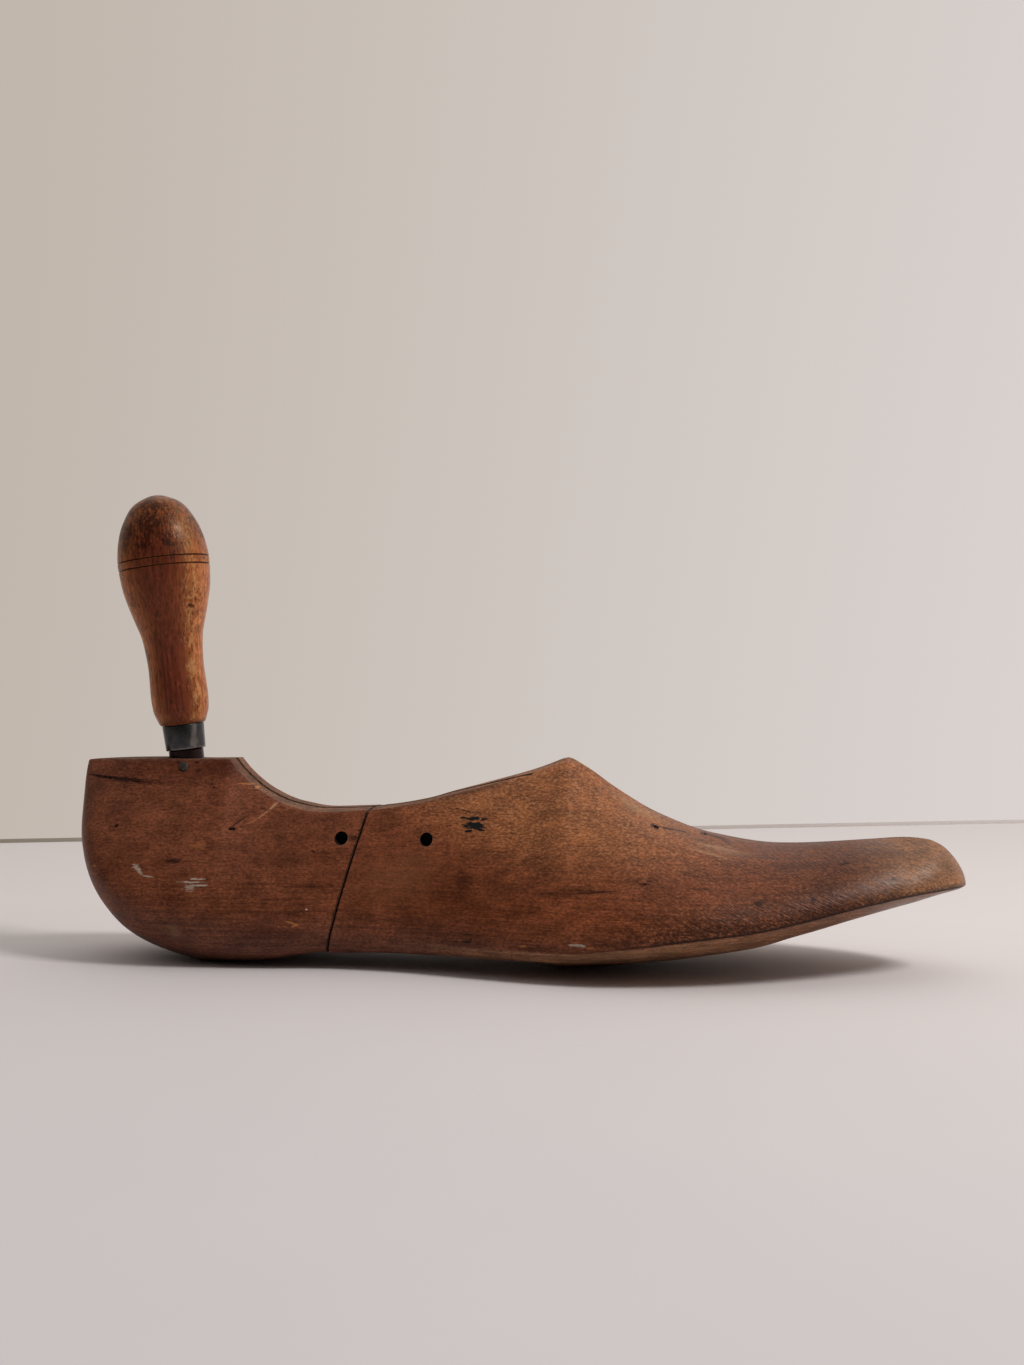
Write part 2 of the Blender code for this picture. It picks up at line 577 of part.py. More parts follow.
shoulder = SPINDLE_SHOWING - CLEARANCE
tang_top = SPINDLE_SHOWING + TANG_LENGTH
spindle_foot = CLEARANCE - SOCKET_DEPTH
spindle_profile = ((0.0, spindle_foot), (SPINDLE_RADIUS - SPINDLE_CHAMFER, spindle_foot),
                   (SPINDLE_RADIUS, spindle_foot + SPINDLE_CHAMFER), (SPINDLE_RADIUS, shoulder),
                   (TANG_ROOT_RADIUS, shoulder), (TANG_TIP_RADIUS, tang_top - TANG_TIP_RADIUS),
                   (TANG_TIP_RADIUS / 2, tang_top), (0.0, tang_top))
spindle = handle_piece("handle_spindle", spindle_profile, dark_steel)
cut(spindle, "spindle_pin_hole", through_hole(HANDLE_PIN_HOLE_RADIUS, HANDLE_PIN_PLACE, HANDLE_PIN_HEIGHT),
    parent=heel_pivot)

# The ferrule: a collar a little wider at the top, pressed on the grip's tenon
bore_radius = FERRULE_FOOT_RADIUS - FERRULE_WALL
ferrule_top = SPINDLE_SHOWING + FERRULE_HEIGHT
ferrule_profile = ((bore_radius, SPINDLE_SHOWING),
                   (FERRULE_FOOT_RADIUS - FERRULE_LIP, SPINDLE_SHOWING),
                   (FERRULE_FOOT_RADIUS, SPINDLE_SHOWING + FERRULE_LIP),
                   (FERRULE_TOP_RADIUS, ferrule_top - FERRULE_LIP),
                   (FERRULE_TOP_RADIUS - FERRULE_LIP, ferrule_top),
                   (bore_radius, ferrule_top))
handle_piece("ferrule", ferrule_profile, dark_steel)

# The grip: turned, with a tenon for the ferrule, a bore for the tang and two scribed rings.
# Rows are (distance down from the crown as a share of the length, radius)
crown_height = ferrule_top + CLEARANCE + GRIP_LENGTH
grip_rows = ((0.012, 0.27 * GRIP_RADIUS), (0.042, 0.54 * GRIP_RADIUS), (0.091, 0.727 * GRIP_RADIUS),
             (0.156, 0.88 * GRIP_RADIUS), (0.234, 0.973 * GRIP_RADIUS), (0.29, GRIP_RADIUS),
             (0.34, 0.987 * GRIP_RADIUS), (0.40, 0.955 * GRIP_RADIUS), (0.47, 0.875 * GRIP_RADIUS),
             (0.545, 0.767 * GRIP_RADIUS), (0.62, 0.662 * GRIP_RADIUS), (0.70, 1.02 * GRIP_WAIST_RADIUS),
             (0.75, GRIP_WAIST_RADIUS), (0.87, 1.03 * GRIP_WAIST_RADIUS), (0.93, GRIP_WAIST_RADIUS),
             (0.974, 0.89 * GRIP_WAIST_RADIUS), (1.0, FERRULE_TOP_RADIUS))


def swell(share):
    """Radius of the grip at a share of its length below the crown, from the rows and in a straight line."""
    for (above, wide), (below, wider) in zip(grip_rows, grip_rows[1:]):
        if above <= share <= below:
            return wide + (wider - wide) * (share - above) / (below - above)
    return grip_rows[-1][1]


grip_outline = [(share, radius) for share, radius in grip_rows]
half_ring = RING_WIDTH / 2 / GRIP_LENGTH
for ring in (UPPER_RING_DROP / GRIP_LENGTH, LOWER_RING_DROP / GRIP_LENGTH):
    grip_outline += [(ring - half_ring, swell(ring - half_ring)), (ring, swell(ring) - RING_DEPTH),
                     (ring + half_ring, swell(ring + half_ring))]
grip_outline.sort()
tenon_radius = bore_radius - CLEARANCE
tang_bore_radius = TANG_ROOT_RADIUS + CLEARANCE
grip_profile = [(0.0, crown_height)]
grip_profile += [(radius, crown_height - share * GRIP_LENGTH) for share, radius in grip_outline]
grip_profile += [(tenon_radius, crown_height - GRIP_LENGTH), (tenon_radius, SPINDLE_SHOWING),
                 (tang_bore_radius, SPINDLE_SHOWING), (tang_bore_radius, tang_top + CLEARANCE),
                 (0.0, tang_top + CLEARANCE)]
handle_piece("grip", grip_profile, grip_wood)
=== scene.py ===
from math import acos, ceil, cos, pi, radians, sin, tan

import bmesh
import bpy
from mathutils import Matrix, Vector, noise


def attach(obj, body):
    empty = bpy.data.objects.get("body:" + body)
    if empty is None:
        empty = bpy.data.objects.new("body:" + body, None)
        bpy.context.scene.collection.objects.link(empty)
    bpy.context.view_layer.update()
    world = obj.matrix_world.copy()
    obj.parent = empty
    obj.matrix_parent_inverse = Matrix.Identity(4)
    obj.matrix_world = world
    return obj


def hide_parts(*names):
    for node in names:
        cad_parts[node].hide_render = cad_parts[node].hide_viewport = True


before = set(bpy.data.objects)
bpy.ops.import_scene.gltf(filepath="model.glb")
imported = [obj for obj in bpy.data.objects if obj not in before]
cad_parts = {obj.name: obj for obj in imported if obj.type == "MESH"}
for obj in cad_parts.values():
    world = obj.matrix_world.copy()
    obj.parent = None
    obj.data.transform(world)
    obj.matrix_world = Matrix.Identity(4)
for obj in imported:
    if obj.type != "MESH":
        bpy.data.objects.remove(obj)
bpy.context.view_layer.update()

# Camera: beside the outer side of the foot, level, 90 mm above the table and turned a little to the heel.
# The lens gives the photograph's own scale, with no shift and nothing out of focus.
EYE = (0.06295, -0.4832, 0.09025)
EYE_TURN = radians(7.4)
SENSOR_WIDTH = 36.0
LENS = 39.56
camera = bpy.data.objects.new("camera", bpy.data.cameras.new("camera"))
bpy.context.scene.collection.objects.link(camera)
bpy.context.scene.camera = camera
camera.location = EYE
camera.rotation_euler = (pi / 2, 0.0, EYE_TURN)
camera.data.sensor_width = SENSOR_WIDTH
camera.data.lens = LENS
bpy.context.scene.view_settings.view_transform = "Standard"


# Table and wall: an off-white laminate top whose far edge is straight, with a dark joint along it, and a
# pale wall behind. The table is a flat sheet, and the wall and the room are colours of the world.
def shade(code):
    """Linear colour of an sRGB hex code."""
    parts = [int(code[start:start + 2], 16) / 255 for start in (1, 3, 5)]
    linear = [part / 12.92 if part <= 0.04045 else ((part + 0.055) / 1.055) ** 2.4 for part in parts]
    return (*linear, 1.0)


def feed(node, inputs):
    """Gives a node its inputs, by name or in order: a value, a hex colour or another node's output, linked."""
    for name, value in inputs.items() if isinstance(inputs, dict) else enumerate(inputs):
        if isinstance(value, bpy.types.NodeSocket):
            node.id_data.links.new(value, node.inputs[name])
        else:
            node.inputs[name].default_value = shade(value) if isinstance(value, str) else value


def add(tree, kind, inputs, output=0, **settings):
    """Adds a node with its settings and inputs, and gives back one of its outputs."""
    made = tree.nodes.new("ShaderNode" + kind)
    for name, value in settings.items():
        setattr(made, name, value)
    feed(made, inputs)
    return made.outputs[output]


def finish(name):
    """New material, with its node tree, its shader, and the place on the object that its patterns follow."""
    made = bpy.data.materials.new(name)
    made.use_nodes = True
    tree = made.node_tree
    return made, tree, tree.nodes["Principled BSDF"], add(tree, "TexCoord", (), "Object")


EDGE_LEFT = Vector((-0.3312, 0.3162, 0.0))
EDGE_RIGHT = Vector((0.2650, 0.5147, 0.0))
TABLE_REACH = 4.0
TABLE_JOINT_HEIGHT = 0.0022
along_edge = (EDGE_RIGHT - EDGE_LEFT).normalized()
towards_camera = Vector((along_edge.y, -along_edge.x, 0.0))
far_left = EDGE_LEFT - along_edge * TABLE_REACH
far_right = EDGE_RIGHT + along_edge * TABLE_REACH

boards = []
for name, reach in (("table", towards_camera * TABLE_REACH),
                    ("table_joint", Vector((0.0, 0.0, TABLE_JOINT_HEIGHT)))):
    form = bmesh.new()
    bmesh.ops.create_grid(form, x_segments=1, y_segments=1, size=1.0)
    for vert in form.verts:
        far_end = far_right if vert.co.x > 0 else far_left
        vert.co = far_end + reach if vert.co.y < 0 else far_end
    mesh = bpy.data.meshes.new(name)
    form.to_mesh(mesh)
    form.free()
    boards.append(bpy.data.objects.new(name, mesh))
    bpy.context.scene.collection.objects.link(boards[-1])
table, table_joint = boards

# Matt laminate: almost no sheen, lighter towards the wall, which lights it, and very faintly clouded
laminate, tree, shader, where = finish("matt_laminate")
depth = add(tree, "SeparateXYZ", (where,), "Y")
cloud = add(tree, "TexNoise", {"Vector": where, "Scale": 14.0, "Detail": 2.0})
depth = add(tree, "Math", (cloud, 0.10, depth), operation="MULTIPLY_ADD")
depth = add(tree, "MapRange", (depth, -0.25, 0.17))
colour = add(tree, "Mix", {0: depth, 6: "#cfcbcc", 7: "#e0dad9"}, 2, data_type="RGBA")
feed(shader, {"Base Color": colour, "Roughness": 0.7, "Specular IOR Level": 0.15})
table.data.materials.append(laminate)

# The joint behind the table is in shadow at the left and fades out at the right
joint_shadow, tree, shader, where = finish("shadowed_joint")
fade = add(tree, "MapRange", (add(tree, "SeparateXYZ", (where,), "X"), -0.33, 0.30))
colour = add(tree, "Mix", {0: fade, 6: "#aaa293", 7: "#ebe3e0"}, 2, data_type="RGBA")
feed(shader, {"Base Color": colour, "Roughness": 0.9})
table_joint.data.materials.append(joint_shadow)

# The wall grows lighter to the right and downwards. The camera sees it all round, but gloss finds a dim room
# behind the camera. Diffuse light comes mostly from above and from the wall
world = bpy.data.worlds.new("wall_and_room")
bpy.context.scene.world = world
world.use_nodes = True
tree = world.node_tree
tree.nodes.clear()
heading = add(tree, "TexCoord", (), "Generated")
spread, room, above = [
    add(tree, "MapRange", (add(tree, "VectorMath", (heading, way), "Value", operation="DOT_PRODUCT"), *limits))
    for way, limits in (((cos(EYE_TURN), sin(EYE_TURN), -0.15), (-0.33, 0.33)),
                        ((0.25, 0.9, 0.3), (-0.6, 0.35)),
                        ((0.12, 0.60, 0.79), (-0.2, 1.0, 0.02, 0.84)))]
rays = add(tree, "LightPath", ()).node.outputs
room = add(tree, "Math", (room, rays["Is Camera Ray"]), operation="MAXIMUM")
wall_colour = add(tree, "Mix", {0: spread, 6: "#c1b7ad", 7: "#dad2cf"}, 2, data_type="RGBA")
wall_colour = add(tree, "Mix", {0: room, 6: "#2f2c2a", 7: wall_colour}, 2, data_type="RGBA")
daylight = add(tree, "Background", {"Color": "#fbf5f0", "Strength": above})
wall_light = add(tree, "Background", {"Color": wall_colour, "Strength": 1.0})
seen = rays["Is Camera Ray"]
for ray in ("Is Glossy Ray", "Is Transmission Ray"):
    seen = add(tree, "Math", (seen, rays[ray]), operation="MAXIMUM")
both = add(tree, "MixShader", (seen, daylight, wall_light))
feed(tree.nodes.new("ShaderNodeOutputWorld"), {"Surface": both})

# Studio light: a small soft window high on the right, a little to the camera's side, and a broad weak ceiling
# light towards the wall
AIM = Vector((0.0, 0.0, 0.04))
for name, place, size, power in (("window", (0.87, -0.30, 1.05), 0.34, 10.2),
                                 ("ceiling", (0.0, 0.85, 1.35), 1.60, 2.0)):
    lamp = bpy.data.lights.new(name, "AREA")
    lamp.shape = "SQUARE"
    lamp.size = size
    lamp.energy = power
    lamp.color = shade("#fffcfa")[:3]
    holder = bpy.data.objects.new(name, lamp)
    holder.location = place
    holder.rotation_euler = (Vector(place) - AIM).to_track_quat("Z", "Y").to_euler()
    bpy.context.scene.collection.objects.link(holder)

# The two wooden halves: one block of beech, turned on a copying lathe to the form of a right foot, planed
# flat on top, then sawn apart on a slant and slotted along the comb by a circular saw. The form is lofted
# between lines drawn along the last. A line's rows are places on it and the value there.
LAST_LENGTH = 0.2877
HEEL_HEIGHT = 0.0652
COMB_HEIGHT = 0.0491
PEAK_HEIGHT = 0.0655
VAMP_HEIGHT = 0.0387
TOE_BOX_HEIGHT = 0.0414
TOE_SPRING = 0.0271
WAIST_LIFT = 0.0042
PLATE_END = 0.0518
PEAK_PLACE = 0.1619
HEEL_HALF_WIDTH = 0.0292
WAIST_HALF_WIDTH = 0.0245
BALL_HALF_WIDTH = 0.0432
TOE_TURN = 0.0040
PLATE_HALF_WIDTH = 0.0087
PLATE_FRONT_HALF_WIDTH = 0.0074
COMB_HALF_WIDTH = 0.0125
COMB_CROWN = 0.0005
COMB_TILT = 0.0009
EDGE_ROUND = 0.0011
EDGE_DROP = 0.0004
EDGE_PULL = 0.55
TREAD_HALF_WIDTH = 0.0080
SHOULDER_HOLD = 0.33
SIDE_HOLD = 0.28
TUCK_HOLD = 0.34
ROUND_SOLE_HOLD = 0.36
SQUARE_SOLE_HOLD = 0.70
CORNER_FADE = 0.0200


def heel(share):
    return share * PLATE_END


def comb(share):
    return PLATE_END + share * (PEAK_PLACE - PLATE_END)


def fore(share):
    return PEAK_PLACE + share * (LAST_LENGTH - PEAK_PLACE)


def curve(*rows, reach=LAST_LENGTH):
    """Smooth line through rows of (place, value), which never swings past a row and closes round its ends."""
    def spread_out(place):
        return acos(1.0 - 2.0 * min(max(place / reach, 0.0), 1.0))

    knots = [spread_out(place) for place, value in rows]
    values = [value for place, value in rows]
    steps = [b - a for a, b in zip(knots, knots[1:])]
    rises = [(b - a) / step for a, b, step in zip(values, values[1:], steps)]
    slopes = [rises[0]]
    for before, after, step_before, step_after in zip(rises, rises[1:], steps, steps[1:]):
        if before * after <= 0.0:
            slopes.append(0.0)
        else:
            near = 2.0 * step_after + step_before
            far = step_after + 2.0 * step_before
            slopes.append((near + far) / (near / before + far / after))
    slopes.append(rises[-1])

    def value_at(place):
        knot = spread_out(place)
        index = 0
        while index < len(steps) - 1 and knot > knots[index + 1]:
            index += 1
        step = steps[index]
        t = min(max((knot - knots[index]) / step, 0.0), 1.0)
        return (values[index] * (1 + 2 * t) * (1 - t) ** 2 + slopes[index] * step * t * (1 - t) ** 2
                + values[index + 1] * (3 - 2 * t) * t ** 2 - slopes[index + 1] * step * (1 - t) * t ** 2)

    return value_at


def along(part, low, high, *rows):
    """Rows on one part of the last, each with its share of the way from the low value to the high one."""
    return [(part(place), low + share * (high - low)) for place, share in rows]


def angles(*rows):
    return curve(*((place, radians(degrees)) for place, degrees in rows))


# Side view
plate_line = curve(
    (0.0, HEEL_HEIGHT - 0.0034), (heel(0.003), HEEL_HEIGHT - 0.0017), (heel(0.009), HEEL_HEIGHT - 0.0009),
    (heel(0.020), HEEL_HEIGHT - 0.0006), (heel(0.45), HEEL_HEIGHT), (PLATE_END, HEEL_HEIGHT))
comb_line = curve(
    (PLATE_END, HEEL_HEIGHT),
    *along(comb, COMB_HEIGHT, HEEL_HEIGHT, (0.03, 0.76), (0.10, 0.37), (0.18, 0.11), (0.28, 0.0)),
    *along(comb, COMB_HEIGHT, PEAK_HEIGHT, (0.43, 0.04), (0.57, 0.17), (0.66, 0.33), (0.91, 0.78), (0.97, 0.94),
        (0.985, 0.98)),
    (PEAK_PLACE, PEAK_HEIGHT),
    *along(fore, VAMP_HEIGHT, PEAK_HEIGHT, (0.015, 0.98), (0.045, 0.91), (0.125, 0.65), (0.24, 0.335),
        (0.36, 0.13), (0.54, 0.0)),
    (fore(0.85), TOE_BOX_HEIGHT), (fore(0.905), TOE_BOX_HEIGHT - 0.0005),
    (fore(0.943), TOE_BOX_HEIGHT - 0.0025), (fore(0.969), TOE_BOX_HEIGHT - 0.0056),
    (fore(0.987), TOE_SPRING + 0.0054), (LAST_LENGTH, TOE_SPRING))
sole_line = curve(
    (0.0, 0.0400),
    *along(heel, 0.0, 1.0, (0.009, 0.0366), (0.046, 0.0312), (0.116, 0.0243), (0.224, 0.0158), (0.364, 0.0090),
        (0.56, 0.0037), (0.74, 0.0008), (0.89, -0.0002)),
    (comb(0.045), 0.0001),
    *along(comb, 0.0, WAIST_LIFT, (0.15, 0.25), (0.32, 1.0), (0.52, 1.13), (0.67, 1.10), (0.82, 0.80),
        (0.93, 0.35)),
    (PEAK_PLACE, -0.0001),
    *along(fore, 0.0, 1.0, (0.115, 0.0007), (0.24, 0.0025), (0.36, 0.0048), (0.48, 0.0077), (0.58, 0.0114),
        (0.71, 0.0163), (0.83, 0.0208), (0.94, 0.0248)),
    (LAST_LENGTH, TOE_SPRING))
feather_line = curve(
    (0.0, 0.0460),
    *along(heel, 0.0, 1.0, (0.05, 0.0400), (0.22, 0.0295), (0.55, 0.0195)),
    (PLATE_END, 0.0145), (comb(0.43), 0.0108), (comb(0.75), 0.0098), (PEAK_PLACE, 0.0098),
    *along(fore, 0.0, 1.0, (0.165, 0.0117), (0.32, 0.0142), (0.48, 0.0166), (0.57, 0.0188), (0.73, 0.0230),
        (0.89, 0.0259)),
    (LAST_LENGTH, TOE_SPRING))

# Plan view: the reach to either side, and the edges of the flat top
heel_round = [(0.0, 0.0)] + along(heel, 0.0, HEEL_HALF_WIDTH, (0.055, 0.42), (0.22, 0.76), (0.55, 0.955),
                                  (0.92, 1.0))
outer_line = curve(
    *heel_round, (comb(0.20), 0.935 * HEEL_HALF_WIDTH), (comb(0.41), WAIST_HALF_WIDTH + 0.0003),
    (comb(0.60), WAIST_HALF_WIDTH + 0.0030), (comb(0.82), 0.80 * BALL_HALF_WIDTH),
    *along(fore, 0.0, BALL_HALF_WIDTH, (0.04, 0.955), (0.16, 1.0), (0.32, 0.965), (0.48, 0.86), (0.64, 0.70),
        (0.76, 0.54), (0.86, 0.375), (0.935, 0.22)),
    (LAST_LENGTH, -TOE_TURN))
inner_line = curve(
    *heel_round, (comb(0.20), 0.89 * HEEL_HALF_WIDTH), (comb(0.43), WAIST_HALF_WIDTH - 0.0026),
    (comb(0.66), WAIST_HALF_WIDTH - 0.0004), (comb(0.88), 0.72 * BALL_HALF_WIDTH),
    *along(fore, 0.0, BALL_HALF_WIDTH, (0.08, 0.93), (0.23, 1.0), (0.39, 0.985), (0.54, 0.93), (0.68, 0.82),
        (0.80, 0.67), (0.89, 0.50), (0.955, 0.33)),
    (LAST_LENGTH, TOE_TURN))
top_outer_line = curve(
    (0.0, 0.0),
    *along(heel, 0.0, PLATE_HALF_WIDTH, (0.03, -0.15), (0.17, -0.50), (0.50, -1.0)),
    (PLATE_END, -PLATE_FRONT_HALF_WIDTH), (comb(0.10), -1.04 * PLATE_FRONT_HALF_WIDTH),
    *along(comb, 0.0, COMB_HALF_WIDTH, (0.30, -1.0), (0.43, -0.90), (0.65, -0.62), (0.91, 0.0)),
    (PEAK_PLACE, 0.0030), (fore(0.055), 0.0058), (fore(0.30), 0.0050), (fore(0.65), TOE_TURN),
    (LAST_LENGTH, TOE_TURN))
top_inner_line = curve(
    (0.0, 0.0),
    *along(heel, 0.0, PLATE_HALF_WIDTH, (0.03, 0.15), (0.17, 0.50), (0.50, 1.0)),
    (PLATE_END, PLATE_FRONT_HALF_WIDTH),
    *along(comb, 0.0, COMB_HALF_WIDTH, (0.30, 1.0), (0.43, 0.92), (0.65, 1.0), (0.91, 1.0)),
    (PEAK_PLACE, 0.0108), (fore(0.055), 0.0068), (fore(0.30), 0.0056), (fore(0.65), TOE_TURN + 0.0004),
    (LAST_LENGTH, TOE_TURN))
inner_lift = curve(
    (0.0, 0.0),
    *along(comb, 0.0, COMB_TILT, (0.45, 0.0), (0.66, 0.5), (0.90, 1.0)),
    (PEAK_PLACE, 0.5 * COMB_TILT), (fore(0.05), 0.0), (LAST_LENGTH, 0.0))

# Sections: how steeply the side leaves the top, and how the sole turns in, stays flat and rises
shoulder_angle = angles(
    (0.0, 55), (heel(0.5), 70), (PLATE_END, 66), (comb(0.30), 56), (comb(0.43), 60), (comb(0.66), 46),
    (comb(0.92), 38), (fore(0.06), 22), (fore(0.16), 10), (fore(0.32), 3), (fore(0.5), 0), (LAST_LENGTH, 0))
tuck_angle = angles(
    (0.0, 0), (heel(0.9), 8), (comb(0.43), 8), (comb(0.85), 38), (fore(0.10), 60), (fore(0.80), 62),
    (LAST_LENGTH, 45))
sole_hold = curve(
    (0.0, ROUND_SOLE_HOLD), (heel(0.6), ROUND_SOLE_HOLD), (comb(0.20), SQUARE_SOLE_HOLD),
    (comb(0.55), SQUARE_SOLE_HOLD), (PEAK_PLACE, ROUND_SOLE_HOLD), (LAST_LENGTH, ROUND_SOLE_HOLD))
camber_angle = angles(
    (0.0, 0), (comb(0.55), 0), (comb(0.78), 7), (PEAK_PLACE, 17), (fore(0.18), 11), (fore(0.34), 3),
    (fore(0.50), 0), (LAST_LENGTH, 0))
SIDE_POINTS = 34
SOLE_POINTS = 18
TOP_POINTS = 10
ROUND_POINTS = 4
CLOSED_WIDTH = 0.00001


def top_line(place):
    return plate_line(place) if place <= PLATE_END else comb_line(place)


def bezier(start, start_pull, end_pull, end, count):
    """Points of a cubic curve from start to end, with both ends."""
    points = []
    for index in range(count + 1):
        t = index / count
        points.append(start * (1 - t) ** 3 + start_pull * 3 * t * (1 - t) ** 2
                      + end_pull * 3 * t ** 2 * (1 - t) + end * t ** 3)
    return points


def flank(place, side):
    """Points (y, z) down one side, from the edge of the flat top to the middle of the sole."""
    edge = top_outer_line(place) if side < 0 else top_inner_line(place)
    reach = side * (outer_line(place) if side < 0 else inner_line(place))
    top = Vector((edge, top_line(place) + (inner_lift(place) if side > 0 else 0.0)))
    widest = Vector((reach, feather_line(place)))
    fall = (top - widest).length
    leave = Vector((side * cos(shoulder_angle(place)), -sin(shoulder_angle(place))))
    soft = min(CORNER_FADE, place, LAST_LENGTH - place)
    softened = (top_line(place - soft) + top_line(place + soft) + 2 * top_line(place)) / 4
    side_points = bezier(top, Vector((edge, softened)) + leave * SHOULDER_HOLD * fall,
                         widest + Vector((0.0, SIDE_HOLD * fall)), widest, SIDE_POINTS)
    centre = (inner_line(place) - outer_line(place)) / 2
    width = outer_line(place) + inner_line(place)
    middle = Vector((centre + side * min(TREAD_HALF_WIDTH, width / 5), sole_line(place)))
    under = (widest - middle).length
    turn = Vector((-side * sin(tuck_angle(place)), -cos(tuck_angle(place))))
    rise = Vector((side * cos(camber_angle(place)), sin(camber_angle(place))))
    sole_points = bezier(widest, widest + turn * TUCK_HOLD * under,
                         middle + rise * sole_hold(place) * under, middle, SOLE_POINTS)
    return side_points + sole_points[1:]


def section(place):
    """Ring of points round the last at a place along it, with both edges of the flat top worn round."""
    outer = flank(place, -1)
    inner = flank(place, 1)
    width = inner[0].x - outer[0].x
    narrowed = min(1.0, width / (4 * EDGE_ROUND))
    round_off = narrowed * EDGE_ROUND
    crown = COMB_CROWN * min(1.0, width / COMB_HALF_WIDTH) if place > PLATE_END else 0.0
    top = []
    for index in range(TOP_POINTS + 1):
        share = index / TOP_POINTS
        across = inner[0].x - round_off - share * (width - 2 * round_off)
        height = inner[0].y + share * (outer[0].y - inner[0].y)
        top.append(Vector((across, height - crown * (2 * share - 1) ** 2)))
    rounds = []
    for flat_end, edge in ((top[-1], outer[0]), (top[0], inner[0])):
        edge.y -= narrowed * EDGE_DROP
        corner = Vector((flat_end.x + EDGE_PULL * (edge.x - flat_end.x), flat_end.y))
        rounds.append(bezier(flat_end, corner, corner, edge, ROUND_POINTS)[1:-1])
    ring = top + rounds[0] + outer + inner[::-1] + rounds[1][::-1]
    if outer_line(place) + inner_line(place) < CLOSED_WIDTH:
        return [Vector((place, top_outer_line(place), point.y)) for point in ring]
    return [Vector((place, point.x, max(point.y, 0.0))) for point in ring]


def half_width_at(place, height, side):
    """How far the wood reaches to one side at a place and a height."""
    points = flank(place, side)[:SIDE_POINTS + 1]
    for upper, lower in zip(points, points[1:]):
        if lower.y <= height < upper.y:
            share = (upper.y - height) / (upper.y - lower.y)
            return abs(upper.x + share * (lower.x - upper.x))
    return abs(points[-1].x)


# The sections stand close together at both ends
STATION_STEP = 0.0013
END_LENGTH = 0.0120
END_STATIONS = 18
ends = [END_LENGTH * (1 - cos(pi / 2 * index / END_STATIONS)) for index in range(END_STATIONS + 1)]
stations = list(ends)
bounds = (END_LENGTH, PLATE_END, PEAK_PLACE, LAST_LENGTH - END_LENGTH)
for start, end in zip(bounds, bounds[1:]):
    count = ceil((end - start) / STATION_STEP)
    stations += [start + (end - start) * index / count for index in range(1, count + 1)]
stations += [LAST_LENGTH - place for place in ends[-2::-1]]

# A grid is wrapped round the sections and closed. Scraping by hand leaves it a little uneven
HAND_WORK = 0.00018
HAND_WORK_SIZE = 0.014
UNWORKED_FOOT = 0.0005
MERGED = 1e-6
rings = [section(place) for place in stations]
around = len(rings[0])
skin = bmesh.new()
bmesh.ops.create_grid(skin, x_segments=around, y_segments=len(rings) - 1, size=1.0)
for vert in skin.verts:
    ring = rings[round((vert.co.y + 1) / 2 * (len(rings) - 1))]
    vert.co = ring[round((vert.co.x + 1) / 2 * around) % around]
bmesh.ops.remove_doubles(skin, verts=skin.verts, dist=MERGED)
bmesh.ops.dissolve_degenerate(skin, edges=skin.edges, dist=MERGED)
bmesh.ops.recalc_face_normals(skin, faces=skin.faces)
skin.normal_update()
for vert in skin.verts:
    if vert.co.z > UNWORKED_FOOT:
        vert.co -= vert.normal * HAND_WORK * max(0.5 + noise.noise(vert.co / HAND_WORK_SIZE), 0.0)
whole_last = bpy.data.meshes.new("whole_last")
skin.to_mesh(whole_last)
skin.free()

# The saw cuts, and the holes of the pins and the handle
JOINT_PLACE = 0.0990
JOINT_LEAN = radians(13.6)
JOINT_GAP = 0.00045
JOINT_STEP = 0.0009
JOINT_STEP_LENGTH = 0.0240
JOINT_RIM = 0.00025
SAW_RADIUS = 0.0559
SAW_PLACE = 0.1020
SLOT_DEPTH = 0.0171
SLOT_WIDTH = 0.0025
PIN_SPACING = 0.0276
REAR_PIN_PLACE = 0.0914
PIN_HEIGHT = 0.0407
PIN_RADIUS = 0.0018
CLEARANCE = 0.0003
TIGHT = 0.00005
HANDLE_PLACE = 0.0345
HANDLE_LEAN = radians(6.6)
HANDLE_TILT = radians(1.2)
SPINDLE_RADIUS = 0.0057
SOCKET_DEPTH = 0.0260
HANDLE_PIN_RADIUS = 0.00165
HANDLE_PIN_PLACE = 0.0364
HANDLE_PIN_HEIGHT = HEEL_HEIGHT - 0.0026
FRONT_PIN_PLACE = REAR_PIN_PLACE + PIN_SPACING
SAW_HEIGHT = COMB_HEIGHT - SLOT_DEPTH + SAW_RADIUS
SHARP_ANGLE = radians(40)
ON_PLANE = 1e-7
SAW_SIDES = 360
ROUND_SIDES = 96
HOLE_SIDES = 48
to_row = Matrix.Translation((-LAST_LENGTH / 2, 0.0, 0.0))
handle_foot = Vector((HANDLE_PLACE, 0.0, HEEL_HEIGHT))
handle_axis = Vector((-tan(HANDLE_LEAN), -tan(HANDLE_TILT), 1.0)).normalized()
joint_out = Vector((cos(JOINT_LEAN), 0.0, -sin(JOINT_LEAN)))
joint_top = Vector((JOINT_PLACE, 0.0, top_line(JOINT_PLACE)))


def rod(radius, start, end, segments):
    """Solid round bar between two points."""
    form = bmesh.new()
    axis = end - start
    bmesh.ops.create_cone(form, cap_ends=True, segments=segments, radius1=radius, radius2=radius,
                          depth=axis.length)
    turn = axis.to_track_quat("Z", "Y").to_matrix().to_4x4()
    bmesh.ops.transform(form, matrix=Matrix.Translation((start + end) / 2) @ turn, verts=form.verts)
    return form


def cross_rod(radius, place, height, outer_end, inner_end, segments):
    """Round bar across the last."""
    return rod(radius, Vector((place, outer_end, height)), Vector((place, inner_end, height)), segments)


